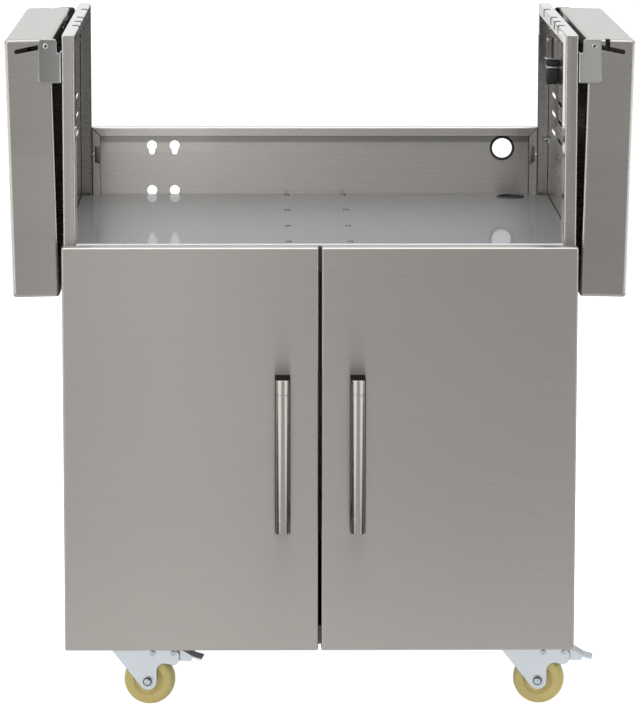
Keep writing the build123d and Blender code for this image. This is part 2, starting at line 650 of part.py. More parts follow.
def handle_post(height):
    """Round-fronted post from the door to the grip, bored for its screw and the grip's end."""
    low = height - POST_HEIGHT / 2
    post = rod((HANDLE_X, handle_y(), low), (0, 0, 1), HANDLE_R, POST_HEIGHT)
    post += block((HANDLE_X - HANDLE_R, HANDLE_X + HANDLE_R), (handle_y(), DOOR_FRONT_Y - SEAT_GAP),
                  (low, low + POST_HEIGHT))
    rims = [edge for edge in post.faces().filter_by(Axis.Z).edges()
            if edge.center().Y < DOOR_FRONT_Y - POST_EDGE]
    post = chamfer(rims, POST_EDGE)
    up = 1 if height < sum(HANDLE_Z) / 2 else -1
    mouth = (HANDLE_X, handle_y(), height + up * (POST_HEIGHT / 2 - GRIP_TENON - CLEAR))
    post -= rod(mouth, (0, 0, up), HANDLE_R - HANDLE_WALL + HOLE_GAP, GRIP_TENON + CLEAR)
    foot = (HANDLE_X, DOOR_FRONT_Y, height)
    return post - rod(foot, (0, -1, 0), HANDLE_SCREW_R + HOLE_GAP, HANDLE_SCREW_DEPTH + CLEAR)


def handle_grip():
    """Tube between the posts, turned down at both ends to enter them."""
    low = HANDLE_Z[0] + POST_HEIGHT + SEAT_GAP
    high = HANDLE_Z[1] - POST_HEIGHT - SEAT_GAP
    tenon_r = HANDLE_R - HANDLE_WALL
    grip = rod((HANDLE_X, handle_y(), low), (0, 0, 1), HANDLE_R, high - low)
    grip += rod((HANDLE_X, handle_y(), low - GRIP_TENON), (0, 0, 1), tenon_r, high - low + 2 * GRIP_TENON)
    return grip - rod((HANDLE_X, handle_y(), low - 2 * GRIP_TENON), (0, 0, 1), tenon_r - HANDLE_WALL,
                      high - low + 4 * GRIP_TENON)


def handle_screws():
    """Screws from inside the right door's skin into the two posts."""
    start_y = DOOR_FRONT_Y + DOOR_SHEET + HOLE_GAP
    return group([screw((HANDLE_X, start_y, height), (0, -1, 0), DOOR_SHEET, HANDLE_SCREW_HEAD_R,
                        HANDLE_SCREW_HEAD_T, HANDLE_SCREW_R, HANDLE_SCREW_DEPTH - DOOR_SHEET)
                  for height in post_heights()])


def shelf_limits():
    """X and Z limits of the right shelf, hanging straight down from its pins."""
    out = PIN_X + SLOT_IN[0]
    top = PIN_Z + SLOT_IN[1]
    return (out - SHELF_THICKNESS, out), (top - SHELF_REACH, top)


def shelf_lean(piece):
    """Turns a straight-hanging right shelf piece about the pins to its resting tilt."""
    return Pos(PIN_X, 0, PIN_Z) * Rot(0, SHELF_TILT, 0) * Pos(-PIN_X, 0, -PIN_Z) * piece


def shelf_pan():
    """Right shelf: a deep pan, open towards the cart, with guide slots and an entry notch."""
    x, z = shelf_limits()
    y = (SHELF_FRONT_Y, SHELF_BACK_Y)
    pan = folded_box(x, y, z, SHEET, SHELF_BEND)
    pan -= block((x[0] - SHEET, x[0] + 2 * SHEET), (y[0] + SHELF_LIP, y[1] - SHELF_LIP),
                 (z[0] + SHELF_LIP, z[1] - SHELF_LIP))
    ends = [(x[1] - u, z[1] - v) for u, v in (SLOT_IN, SLOT_OUT)]
    face = Plane(origin=(0, y[0] - SHEET, 0), x_dir=(1, 0, 0), z_dir=(0, -1, 0))
    pan -= extrude(face * slanted_slot(ends, SLOT_WIDTH), -(y[1] - y[0] + 2 * SHEET))
    along = (ENTRY_U - SLOT_IN[0]) / (SLOT_OUT[0] - SLOT_IN[0])
    entry_low = z[1] - SLOT_IN[1] - along * (SLOT_OUT[1] - SLOT_IN[1])
    entry_x = x[1] - ENTRY_U
    pan -= block((entry_x - SLOT_WIDTH / 2, entry_x + SLOT_WIDTH / 2), (y[0] - SHEET, y[0] + ENTRY_REACH),
                 (entry_low, z[1] + SHEET))
    return shelf_lean(pan)


def slanted_slot(ends, width):
    """Round-ended slot between two points of the sketch plane."""
    line = Edge.make_line((*ends[0], 0), (*ends[1], 0))
    return SlotArc(line, width)


def shelf_stiffener():
    """Hat channel across the underside of the right shelf."""
    x, z = shelf_limits()
    length = SHELF_BACK_Y - SHELF_FRONT_Y - 2 * RIB_END_GAP
    hat = hat_section(RIB_WIDTH, RIB_BRIM, RIB_DEPTH, SHEET, length)
    place = Pos(x[1] - SHEET - SEAT_GAP, SHELF_FRONT_Y + RIB_END_GAP, sum(z) / 2) * Rot(0, 90, 0)
    return shelf_lean(place * hat)


def turned_about(piece):
    """The same piece on the left: turned half round the middle of the cabinet."""
    return Pos(0, MIDDLE_Y, 0) * Rot(0, 0, 180) * Pos(0, -MIDDLE_Y, 0) * piece


def shelf_bracket():
    """Right front bracket: a soft-edged plate that holds the pin, folded into a leg on the side panel."""
    plate_y = (FRONT_Y, FRONT_Y + BRACKET_T)
    plate = block(BRACKET_X, plate_y, BRACKET_Z)
    plate = fillet(plate.edges().filter_by(Axis.Y), BRACKET_CORNER)
    leg_z = (BRACKET_Z[0], BRACKET_Z[0] + BRACKET_LEG_HEIGHT)
    leg_x = (WALL_OUT + SEAT_GAP, WALL_OUT + SEAT_GAP + BRACKET_T)
    fold = block((leg_x[0], BRACKET_X[0] + BRACKET_CORNER), plate_y, leg_z)
    fold += block(leg_x, (FRONT_Y, FRONT_Y + BRACKET_LEG_DEPTH), leg_z)
    bracket = plate + fold
    corner = bracket.edges().filter_by(Axis.Z).sort_by_distance((leg_x[0], FRONT_Y, sum(leg_z) / 2))[0]
    bracket = fillet(corner, BRACKET_FOLD)
    rim = bracket.faces().filter_by(Axis.Y).sort_by(Axis.Y)[0].outer_wire().edges()
    rim = [edge for edge in rim if edge.center().X > BRACKET_X[0] - CLEAR]
    bracket = fillet(rim, BRACKET_EDGE)
    bracket -= rod((PIN_X, FRONT_Y - SHEET, PIN_Z), (0, 1, 0), PIN_R + HOLE_GAP, BRACKET_T + 2 * SHEET)
    for depth, height in BRACKET_SCREWS:
        start = (leg_x[0] - SHEET, FRONT_Y + depth, BRACKET_Z[0] + height)
        bracket -= rod(start, (1, 0, 0), SCREW_R + HOLE_GAP, BRACKET_T + 2 * SHEET)
    return bracket


def front_and_back(piece):
    """A front piece and its mirror image at the back of the cabinet."""
    return [piece, mirror(piece, about=Plane(origin=(0, MIDDLE_Y, 0), z_dir=(0, 1, 0)))]


def bracket_screw_places():
    """Start and direction of the right-hand bracket screws, front and back."""
    start_x = WALL_OUT + SEAT_GAP + BRACKET_T + HOLE_GAP
    fronts = [(start_x, FRONT_Y + depth, BRACKET_Z[0] + height) for depth, height in BRACKET_SCREWS]
    backs = [(start_x, BACK_Y - depth, BRACKET_Z[0] + height) for depth, height in BRACKET_SCREWS]
    return [(place, (-1, 0, 0)) for place in fronts + backs]


def bracket_screws():
    """Screws that hold the four shelf brackets to the side panels."""
    grip = BRACKET_T + SHEET + SEAT_GAP + 2 * HOLE_GAP
    right = [screw(place, way, grip) for place, way in bracket_screw_places()]
    return group([piece for one in right for piece in both_sides(one)])


def shelf_pin():
    """Right front pin: riveted in the bracket, with a keeper inside the shelf."""
    keeper = BRACKET_T + SHELF_PLATE_GAP + SHEET + CLEAR
    profile = ((0, -PIN_HEAD_T), (PIN_HEAD_FLAT_R, -PIN_HEAD_T), (PIN_HEAD_R, -HOLE_GAP), (PIN_R, -HOLE_GAP),
               (PIN_R, keeper), (PIN_KEEPER_R, keeper), (PIN_KEEPER_R, keeper + PIN_KEEPER_T),
               (0, keeper + PIN_KEEPER_T))
    return round_piece((PIN_X, FRONT_Y, PIN_Z), profile, (0, 1, 0))


def shelf_bumpers():
    """Rubber feet on the side panels that hold the hanging shelves off the walls."""
    drop = SHELF_REACH - SLOT_IN[1] - BUMPER_FROM_END
    lip_out = SHELF_THICKNESS - SLOT_IN[0]
    tilt = radians(SHELF_TILT)
    place_z = PIN_Z - drop * cos(tilt) + lip_out * sin(tilt)
    lip_x = PIN_X - lip_out * cos(tilt) - (drop + BUMPER_R) * sin(tilt)
    height = lip_x - BUMPER_AIR - WALL_OUT - SEAT_GAP
    profile = ((0, 0), (BUMPER_R, 0), (BUMPER_R, height / 2), (BUMPER_R - height / 4, height), (0, height))
    seats = [(WALL_OUT + SEAT_GAP, FRONT_Y + depth, place_z) for depth in BUMPER_DEPTHS]
    right = [round_piece(seat, profile, (1, 0, 0)) for seat in seats]
    return group([piece for one in right for piece in both_sides(one)])


def caster_places():
    """Swivel axis and yaw of each caster."""
    ends = {"front": FRONT_Y + CASTER_INSET, "rear": BACK_Y - CASTER_INSET}
    sides = {"left": -CASTER_X, "right": CASTER_X}
    return {f"{end}_{side}": (x, y, CASTER_YAW[f"{end}_{side}"])
            for end, y in ends.items() for side, x in sides.items()}


def bolt_places():
    """Centres of all caster bolts, four to a plate."""
    return [(x + sx * PLATE_HOLES[0], y + sy * PLATE_HOLES[1])
            for x, y, _ in caster_places().values() for sx in (-1, 1) for sy in (-1, 1)]


def caster_bolts():
    """Bolts up through each caster plate and the base, with hexagon nuts inside."""
    nut_z = CASTER_HEIGHT + SHEET + SEAT_GAP
    bolts = []
    for x, y in bolt_places():
        head_z = CASTER_HEIGHT - PLATE_T - SEAT_GAP - HOLE_GAP
        bolt = rod((x, y, head_z - BOLT_HEAD_T), (0, 0, 1), BOLT_HEAD_R, BOLT_HEAD_T)
        bolt += rod((x, y, head_z), (0, 0, 1), BOLT_R, nut_z - head_z)
        bolts.append(bolt + Pos(x, y, nut_z) * extrude(RegularPolygon(BOLT_HEAD_R, 6), NUT_T))
    return group(bolts)


def caster_plate():
    """Top plate with its race cup and king pin, about the swivel axis."""
    top = CASTER_HEIGHT - SEAT_GAP
    under = top - PLATE_T
    plate = extrude(Pos(0, 0, under) * RectangleRounded(PLATE_LENGTH, PLATE_WIDTH, PLATE_CORNER), PLATE_T)
    for sx in (-1, 1):
        for sy in (-1, 1):
            below = (sx * PLATE_HOLES[0], sy * PLATE_HOLES[1], under - SHEET)
            plate -= rod(below, (0, 0, 1), BOLT_R + HOLE_GAP, PLATE_T + 2 * SHEET)
    head = CROWN_Z - CROWN_T - CLEAR
    profile = ((0, under), (RACE_R, under), (RACE_R - RACE_T / 2, under - RACE_T + SEAT_GAP),
               (KING_R, under - RACE_T + SEAT_GAP), (KING_R, head), (KING_HEAD_R, head),
               (KING_HEAD_R, head - KING_HEAD_T), (0, head - KING_HEAD_T))
    return plate + round_piece((0, 0, 0), profile, (0, 0, 1))


def cheek_outline():
    """Side view of a fork cheek: raked front edge, axle boss, scoop behind the wheel, round brake arm."""
    axle = axle_place()
    rake = radians(FORK_RAKE)
    boss_edge = (axle[0] - AXLE_BOSS_R * cos(rake), axle[1] - AXLE_BOSS_R * sin(rake))
    behind = axle[0] + AXLE_BOSS_R
    inner = (behind, axle[1] + FORK_ARM_RISE)
    end_x = axle[0] + FORK_ARM_REACH
    tip = (end_x, inner[1] - FORK_ARM_DIP)
    corners = ((FORK_LEAD, CROWN_Z), boss_edge, axle, (behind, axle[1]), inner, tip,
               (end_x, brake_pivot()[1]), (end_x - FORK_ARM_SLOPE, CROWN_Z))
    plate = make_face(Polyline(*corners, close=True))
    plate = fillet(plate.vertices().sort_by_distance((*inner, 0))[0], FORK_SCOOP_R)
    plate = fillet(plate.vertices().sort_by_distance((*tip, 0))[0], FORK_ARM_ROUND)
    return plate + Pos(*axle) * Circle(AXLE_BOSS_R)


def caster_fork():
    """Pressed fork: two cheeks under a crown with a dished race, bored for its pins."""
    side = Plane(origin=(0, 0, 0), x_dir=(1, 0, 0), z_dir=(0, -1, 0)) * cheek_outline()
    cheek = Pos(0, CHEEK_OUT, 0) * extrude(side, CHEEK_T)
    fork = cheek + mirror(cheek, about=Plane.XZ)
    fork += block((FORK_LEAD, FORK_CROWN_END), (-CHEEK_OUT, CHEEK_OUT), (CROWN_Z - CROWN_T, CROWN_Z))
    dish = ((0, CROWN_Z - CROWN_T), (DISH_R - DISH_T, CROWN_Z - CROWN_T), (DISH_R, CROWN_Z),
            (DISH_R - DISH_T / 2, CROWN_Z + DISH_T), (0, CROWN_Z + DISH_T))
    fork += round_piece((0, 0, 0), dish, (0, 0, 1))
    bends = [edge for edge in fork.edges().filter_by(Axis.X)
             if abs(edge.center().Z - CROWN_Z) < SHEET / 2
             and abs(abs(edge.center().Y) - CHEEK_OUT) < SHEET / 2]
    fork = fillet(bends, FORK_BEND)
    fork -= rod((0, 0, CROWN_Z - CROWN_T - SHEET), (0, 0, 1), KING_R + RUN_GAP, CROWN_T + DISH_T + 2 * SHEET)
    bores = ((axle_place(), AXLE_R), (brake_pivot(), BRAKE_PIN_R), (fork_rivet_place(), BRAKE_PIN_R))
    for (x, z), radius in bores:
        fork -= rod((x, -CHEEK_OUT - SHEET, z), (0, 1, 0), radius + HOLE_GAP, 2 * (CHEEK_OUT + SHEET))
    return fork


def axle_place():
    """Axle centre in the caster's side view."""
    return CASTER_TRAIL, WHEEL_R


def brake_pivot():
    """Centre of the pin that the brake pedal turns on."""
    return CASTER_TRAIL + BRAKE_PIVOT[0], WHEEL_R + BRAKE_PIVOT[1]


def fork_rivet_place():
    """Centre of the rivet that ties the cheeks together above the wheel."""
    return CASTER_TRAIL + FORK_RIVET[0], WHEEL_R + FORK_RIVET[1]


def caster_axle():
    """Axle bolt with washers, a hexagon head in front and a nut behind."""
    x, z = axle_place()
    face = CHEEK_OUT + HOLE_GAP
    axle = rod((x, -face, z), (0, 1, 0), AXLE_R, 2 * face)
    for way in (-1, 1):
        axle += rod((x, way * face, z), (0, way, 0), WASHER_R, WASHER_T)
        seat = Plane(origin=(x, way * (face + WASHER_T), z), z_dir=(0, way, 0))
        axle += extrude(seat * RegularPolygon(AXLE_HEAD_R, 6), AXLE_HEAD_T)
    return axle


def cross_rivet(place):
    """Domed rivet from cheek to cheek of the fork."""
    x, z = place
    face = CHEEK_OUT + HOLE_GAP
    head = face + PIN_HEAD_T
    half = ((BRAKE_PIN_R, 0), (BRAKE_PIN_R, face), (BRAKE_HEAD_R, face), (BRAKE_HEAD_FLAT_R, head), (0, head))
    profile = [(radius, -across) for radius, across in reversed(half)] + list(half[1:])
    return round_piece((x, 0, z), profile, (0, 1, 0))


def caster_wheel():
    """Moulded wheel with a crowned tread, dished sides and a hub as wide as the fork allows."""
    half = WHEEL_WIDTH / 2
    hub_half = CHEEK_IN - CLEAR
    bore = AXLE_R + RUN_GAP
    web = half - WHEEL_DISH
    side = ((bore, hub_half), (WHEEL_HUB_R, hub_half), (WHEEL_HUB_ROOT_R, web),
            (WHEEL_RIM_R, web), (WHEEL_RIM_R + WHEEL_DISH / 2, half), (WHEEL_SHOULDER_R, half))
    near = Polyline(*side)
    tread = ThreePointArc(side[-1], (WHEEL_R, 0), (WHEEL_SHOULDER_R, -half))
    far = Polyline(*[(radius, -across) for radius, across in reversed(side)])
    close = Line((bore, -hub_half), (bore, hub_half))
    section = Wire([*near.edges(), *tread.edges(), *far.edges(), *close.edges()])
    turned = revolve(make_face(Plane.XZ * section), Axis.Z)
    x, z = axle_place()
    return Plane(origin=(x, 0, z), z_dir=(0, 1, 0)) * turned


def brake_pedal():
    """Sheet lever on the brake pin: a shoe beside the tread, a foot plate behind, two ears."""
    half = PEDAL_WIDTH / 2
    x, z = brake_pivot()
    view = Plane(origin=(x, half, z), x_dir=(1, 0, 0), z_dir=(0, -1, 0))
    skin = trace(FilletPolyline(*PEDAL_LINE, radius=PEDAL_T), PEDAL_T)
    pedal = extrude(view * skin, PEDAL_WIDTH)
    ear = make_face(Polyline(*PEDAL_LINE[1:-1], *PEDAL_EAR_FOOT, close=True))
    for start in (half, -half + PEDAL_EAR_T):
        pedal += extrude(Pos(0, start - half, 0) * (view * ear), PEDAL_EAR_T)
    return pedal - rod((x, -half - SHEET, z), (0, 1, 0), BRAKE_PIN_R + RUN_GAP, PEDAL_WIDTH + 2 * SHEET)


def cabinet_parts():
    """Everything that belongs to the fixed cabinet, by node name."""
    panel = side_panel()
    bracket = front_and_back(shelf_bracket())
    arms = [piece for heights in hinge_arm_heights() for piece in both_sides(hinge_arm(heights))]
    low, high = hinge_arm_heights()
    pins = both_sides(hinge_pin(low, up=False)) + both_sides(hinge_pin(high, up=True))
    back_port = (BACK_PORT_X, BACK_SHEET_Y - SHEET, BACK_PORT_Z)
    deck_port = (DECK_PORT_X, DECK_PORT_Y, DECK_PORT_Z)
    return {
        "right_side_panel": panel,
        "left_side_panel": mirror(panel, about=Plane.YZ),
        "upper_back_panel": upper_back_panel(),
        "lower_back_panel": lower_back_panel(),
        "base_pan": base_pan(),
        "grill_deck": grill_deck(),
        "deck_stiffener": deck_stiffener(),
        "deck_rivets": group([deck_rivet(place) for place in rivet_places()]),
        "back_hose_grommet": grommet(back_port, (0, -1, 0), BACK_PORT_BORE, BACK_PORT_FLANGE),
        "deck_hose_grommet": grommet(deck_port, (0, 0, 1), DECK_PORT_BORE, DECK_PORT_FLANGE),
        "back_panel_screws": back_panel_screws(),
        "connector_bracket": connector_bracket(),
        "connector_block": connector_block(),
        "door_hinge_arms": group(arms),
        "door_hinge_pins": group(pins),
        "door_catches": group(both_sides(door_catch())),
        "right_front_shelf_bracket": bracket[0],
        "right_rear_shelf_bracket": bracket[1],
        "left_front_shelf_bracket": mirror(bracket[0], about=Plane.YZ),
        "left_rear_shelf_bracket": mirror(bracket[1], about=Plane.YZ),
        "shelf_bracket_screws": bracket_screws(),
        "shelf_pivot_pins": group([p for one in front_and_back(shelf_pin()) for p in both_sides(one)]),
        "shelf_bumpers": shelf_bumpers(),
        "caster_bolts": caster_bolts(),
    }


def door_parts():
    """Both doors: the right one as built and the left one mirrored."""
    right = {
        "door_skin": door_skin(),
        "door_liner": door_liner(),
        "door_strike": door_strike(),
        "handle_grip": handle_grip(),
        "handle_posts": group([handle_post(height) for height in post_heights()]),
        "handle_screws": handle_screws(),
    }
    parts = {f"right_{name}": piece for name, piece in right.items()}
    parts.update({f"left_{name}": mirror(piece, about=Plane.YZ) for name, piece in right.items()})
    return parts


def shelf_parts():
    """Both folding shelves: one part, used twice."""
    right = {"shelf_pan": shelf_pan(), "shelf_stiffener": shelf_stiffener()}
    parts = {f"right_{name}": piece for name, piece in right.items()}
    parts.update({f"left_{name}": turned_about(piece) for name, piece in right.items()})
    return parts


def caster_parts():
    """Four casters; the front pair has brakes."""
    plate, fork, axle, wheel = caster_plate(), caster_fork(), caster_axle(), caster_wheel()
    rivets = [cross_rivet(brake_pivot()), cross_rivet(fork_rivet_place())]
    pedal = brake_pedal()
    parts = {}
    for name, (x, y, yaw) in caster_places().items():
        place = Pos(x, y, 0) * Rot(0, 0, yaw)
        parts[f"{name}_caster_plate"] = Pos(x, y, 0) * plate
        parts[f"{name}_caster_fork"] = place * fork
        parts[f"{name}_caster_pins"] = place * group([axle, *rivets])
        parts[f"{name}_wheel"] = place * wheel
        if name.startswith("front"):
            parts[f"{name}_brake_pedal"] = place * pedal
    return parts


os.makedirs("parts", exist_ok=True)
for node, solid in {**cabinet_parts(), **door_parts(), **shelf_parts(), **caster_parts()}.items():
    export_step(solid, f"parts/{node}.step")
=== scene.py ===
"""Looks of a stainless grill cart: finishes, small hardware, studio and camera."""

import json
import math

import bpy
from mathutils import Matrix, Vector


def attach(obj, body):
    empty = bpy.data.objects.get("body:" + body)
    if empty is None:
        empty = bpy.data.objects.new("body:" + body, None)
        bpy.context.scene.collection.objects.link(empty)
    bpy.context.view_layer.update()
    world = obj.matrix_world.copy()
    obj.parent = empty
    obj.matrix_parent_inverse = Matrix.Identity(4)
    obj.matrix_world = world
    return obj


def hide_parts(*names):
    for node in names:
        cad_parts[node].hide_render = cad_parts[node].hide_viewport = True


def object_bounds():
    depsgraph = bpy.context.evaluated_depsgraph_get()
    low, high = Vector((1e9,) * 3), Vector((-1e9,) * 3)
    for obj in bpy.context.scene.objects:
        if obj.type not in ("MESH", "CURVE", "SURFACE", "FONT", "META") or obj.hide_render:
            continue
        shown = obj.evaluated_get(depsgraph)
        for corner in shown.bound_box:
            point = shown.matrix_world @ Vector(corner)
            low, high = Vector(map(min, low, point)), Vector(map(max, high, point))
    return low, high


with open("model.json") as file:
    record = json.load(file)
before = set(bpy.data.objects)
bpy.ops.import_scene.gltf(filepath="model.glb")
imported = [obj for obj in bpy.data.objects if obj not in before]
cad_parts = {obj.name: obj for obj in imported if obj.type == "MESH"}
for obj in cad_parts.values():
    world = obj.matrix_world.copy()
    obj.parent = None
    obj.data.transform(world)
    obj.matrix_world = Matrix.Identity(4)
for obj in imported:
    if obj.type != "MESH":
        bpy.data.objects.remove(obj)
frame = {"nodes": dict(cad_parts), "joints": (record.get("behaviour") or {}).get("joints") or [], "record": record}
cad_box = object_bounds()
nodes = frame["nodes"]
slot_of = {part["node"]: part["material_slot"] for part in frame["record"]["subparts"]}
MM = 0.001
SIDES = (1, -1)

# Camera at the photograph's viewpoint: metres and degrees
CAMERA_PLACE = (-0.0836, -5.9234, 1.4806)
CAMERA_YAW = 0.8465
CAMERA_PITCH = 9.4936
CAMERA_ROLL = 0.0796
CAMERA_LENS = 205.06
CAMERA_SENSOR = 36.0
CAMERA_REACH = 100.0

# Tones of the finishes: linear colours
STEEL = (0.365, 0.348, 0.326)
DOOR_STEEL = (0.34, 0.325, 0.304)
# Painted shade: a darker copy of the steel for the side panels, for the shade on their inner walls
SHADED_WALL_STEEL = (0.318, 0.303, 0.284)
# Painted light: a lighter copy of the steel for the back panel
LIT_BACK_STEEL = (0.445, 0.425, 0.398)
# Painted shade: a dark copy of the steel for the back panel's corner gussets and the deck rivets
SHADED_GUSSET_STEEL = (0.17, 0.163, 0.153)
DECK_STEEL = (0.28, 0.285, 0.29)
# Painted shade: dark colour of the deck's front apron, in the shade between the doors
APRON_SHADE_STEEL = (0.10, 0.097, 0.094)
# Painted shade: a dark copy of the steel, also rougher, for the base pan in the shade behind the doors
SHADED_PAN_STEEL = (0.17, 0.165, 0.16)
SHELF_STEEL = (0.285, 0.272, 0.255)
HANDLE_STEEL = (0.315, 0.30, 0.281)
BRACKET_STEEL = (0.31, 0.31, 0.306)
SCREW_STEEL = (0.5, 0.5, 0.5)
ZINC = (0.54, 0.575, 0.605)
AMBER = ((0.75, 0.63, 0.235), (0.86, 0.73, 0.29))
RUBBER = ((0.008, 0.008, 0.009), (0.02, 0.02, 0.021))
PLASTIC = ((0.005, 0.005, 0.006), (0.014, 0.014, 0.015))

# Brush lines: noise scale on each axis, the way the lines run, and how far they vary
LEVEL_GRAIN = (5, 5, 1400)
ACROSS_DECK = (5, 1400, 5)
UPRIGHT_GRAIN = (1400, 1400, 5)
BROAD_GRAIN = (2.2, 2.2, 2.2)
ALONG_X = (1, 0.04, 0)
ALONG_Z = (0.04, 0, 1)
STREAK_TONES = (0.93, 1.06)
BROAD_TONES = (0.95, 1.05)
GLOSS_RANGE = (0.8, 1.2)
RELIEF_DEPTH = 0.0002
COAT_ROUGHNESS = 0.04

# Zinc mottle and moulded skin
MOTTLE_GRAIN = (260, 260, 260)
MOTTLE_TONE = 0.9
MOTTLE_GLOSS = 0.06
MOTTLE_RELIEF = 0.04
SKIN_GLOSS = 0.07
SKIN_RELIEF = 0.1
MILKY_RADIUS = (1.0, 0.8, 0.4)
MILKY_DEPTH = 0.004

# Painted shade and painted highlights that change over one panel: places in metres, facings as parts of the normal
LIP_SHADOW_HEIGHTS = (0.7685, 0.772)
LIP_SHADOW_BEHIND = 0.315
LIP_SHADOW = 0.56
WALL_SHADE_HEIGHTS = (0.75, 0.86)
WALL_SHADE = 0.66
WALL_POLISH = 0.15
SIDE_LIP_X = 0.355
SIDE_LIP_TOP = 0.983
APRON_TOP = 0.6855
APRON_FACING = (-0.75, -0.95)
APRON_ROUGHNESS = 0.5
BEND_FACING = (-0.05, -0.3)


def add_camera():
    """Long lens in front of the cart, looking slightly down."""
    yaw = math.radians(CAMERA_YAW)
    pitch = math.radians(CAMERA_PITCH)
    roll = math.radians(CAMERA_ROLL)
    level_ahead = Vector((math.sin(yaw), math.cos(yaw), 0))
    ahead = level_ahead * math.cos(pitch) - Vector((0, 0, math.sin(pitch)))
    level = Vector((math.cos(yaw), -math.sin(yaw), 0))
    upright = level.cross(ahead)
    right = level * math.cos(roll) + upright * math.sin(roll)
    up = upright * math.cos(roll) - level * math.sin(roll)
    data = bpy.data.cameras.new("photo_camera")
    data.lens = CAMERA_LENS
    data.sensor_width = CAMERA_SENSOR
    data.clip_end = CAMERA_REACH
    camera = bpy.data.objects.new("photo_camera", data)
    turn = Matrix((right, up, -ahead)).transposed().to_4x4()
    camera.matrix_world = Matrix.Translation(CAMERA_PLACE) @ turn
    bpy.context.scene.collection.objects.link(camera)
    bpy.context.scene.camera = camera


def new_material(name):
    """Empty node material, with the tree to build in and its shader."""
    material = bpy.data.materials.new(name)
    material.use_nodes = True
    tree = material.node_tree
    return material, tree, tree.nodes["Principled BSDF"]


def add_node(tree, kind, settings=(), **inputs):
    """One node with its options and its inputs, which i0, i1 and so on name by their order."""
    node = tree.nodes.new(kind)
    for key, value in dict(settings).items():
        setattr(node, key, value)
    for key, value in inputs.items():
        by_order = key[0] == "i" and key[1:].isdigit()
        socket = node.inputs[int(key[1:]) if by_order else key]
        if isinstance(value, bpy.types.NodeSocket):
            tree.links.new(value, socket)
        else:
            socket.default_value = value
    return node


def set_sockets(shader, values):
    """Values that are the same all over the surface."""
    for key, value in values.items():
        shader.inputs[key].default_value = value


def calculated(tree, operation, *values):
    """Result of one sum or comparison."""
    inputs = {f"i{order}": value for order, value in enumerate(values)}
    return add_node(tree, "ShaderNodeMath", {"operation": operation}, **inputs).outputs[0]


def ranged(tree, value, start, end, easing="LINEAR"):
    """A value carried from one range to another and held at its ends."""
    limits = {"From Min": start[0], "From Max": start[1], "To Min": end[0], "To Max": end[1]}
    settings = {"interpolation_type": easing}
    return add_node(tree, "ShaderNodeMapRange", settings, Value=value, **limits).outputs[0]


def spread(tree, value, low, high):
    """A 0 to 1 value carried to a range."""
    return ranged(tree, value, (0, 1), (low, high))


def chosen(tree, mask, outside, inside):
    """One number outside a mask and another inside it."""
    return add_node(tree, "ShaderNodeMix", Factor=mask, i2=outside, i3=inside).outputs[0]


def tinted(tree, value, dark, light):
    """A 0 to 1 value turned into a colour between two others."""
    ends = {"i6": (*dark, 1), "i7": (*light, 1)}
    return add_node(tree, "ShaderNodeMix", {"data_type": "RGBA"}, Factor=value, **ends).outputs[2]


def toned(tree, colour, factor):
    """A colour made lighter or darker by a factor."""
    settings = {"operation": "SCALE"}
    return add_node(tree, "ShaderNodeVectorMath", settings, i0=colour, Scale=factor).outputs[0]


def axes(tree, kind):
    """X, Y and Z of each point's place (Object) or of the way it faces (Normal)."""
    point = add_node(tree, "ShaderNodeTexCoord").outputs[kind]
    return add_node(tree, "ShaderNodeSeparateXYZ", Vector=point).outputs


def grain_noise(tree, stretch, detail=4.0):
    """Noise on object coordinates, stretched into streaks by a scale on each axis."""
    place = add_node(tree, "ShaderNodeTexCoord").outputs["Object"]
    mapping = add_node(tree, "ShaderNodeMapping", Vector=place, Scale=stretch).outputs[0]
    noise = add_node(tree, "ShaderNodeTexNoise", Vector=mapping, Scale=1.0, Detail=detail,
                     Roughness=0.6)
    return noise.outputs["Fac"]


def add_relief(tree, shader, height, strength, edge=None):
    """Fine bump, over sharp edges that look softened by a radius where one is given."""
    relief = add_node(tree, "ShaderNodeBump", Height=height, Strength=strength,
                      Distance=RELIEF_DEPTH)
    if edge:
        soft = add_node(tree, "ShaderNodeBevel", {"samples": 4}, Radius=edge).outputs[0]
        tree.links.new(soft, relief.inputs["Normal"])
    tree.links.new(relief.outputs[0], shader.inputs["Normal"])


def brushed_steel(name, colour, grain=LEVEL_GRAIN, along=ALONG_X, roughness=0.26,
                  anisotropy=0.9, bump=0.03, edge=0.0009, polish=0.0, rim=1.0):
    """Stainless sheet: brush lines in tone, gloss and relief, and highlights drawn across them.

    Polish is a clear coat over the lines, and rim is the glint at grazing angles.
    """
    material, tree, shader = new_material(name)
    fine = grain_noise(tree, grain)
    broad = grain_noise(tree, BROAD_GRAIN, detail=2.0)
    dark, light = ([value * tone for value in colour] for tone in STREAK_TONES)
    tone = toned(tree, tinted(tree, fine, dark, light), spread(tree, broad, *BROAD_TONES))
    gloss = spread(tree, fine, *(roughness * share for share in GLOSS_RANGE))
    tree.links.new(tone, shader.inputs["Base Color"])
    tree.links.new(gloss, shader.inputs["Roughness"])
    add_relief(tree, shader, fine, bump, edge)
    normal = add_node(tree, "ShaderNodeNewGeometry").outputs["Normal"]
    across = add_node(tree, "ShaderNodeVectorMath", {"operation": "CROSS_PRODUCT"}, i0=normal,
                      i1=along)
    tree.links.new(across.outputs[0], shader.inputs["Tangent"])
    set_sockets(shader, {"Metallic": 1, "Anisotropic": anisotropy, "Coat Weight": polish,
                         "Coat Roughness": COAT_ROUGHNESS, "Specular Tint": (rim, rim, rim, 1)})
    return material


def feed(material, name):
    """A socket of a finish's shader, and what feeds it so far."""
    socket = material.node_tree.nodes["Principled BSDF"].inputs[name]
    return socket, socket.links[0].from_socket


def retoned(material, factor):
    """A finish made lighter or darker by a factor that changes over the panel."""
    tree = material.node_tree
    socket, colour = feed(material, "Base Color")
    tree.links.new(toned(tree, colour, factor), socket)
    return material


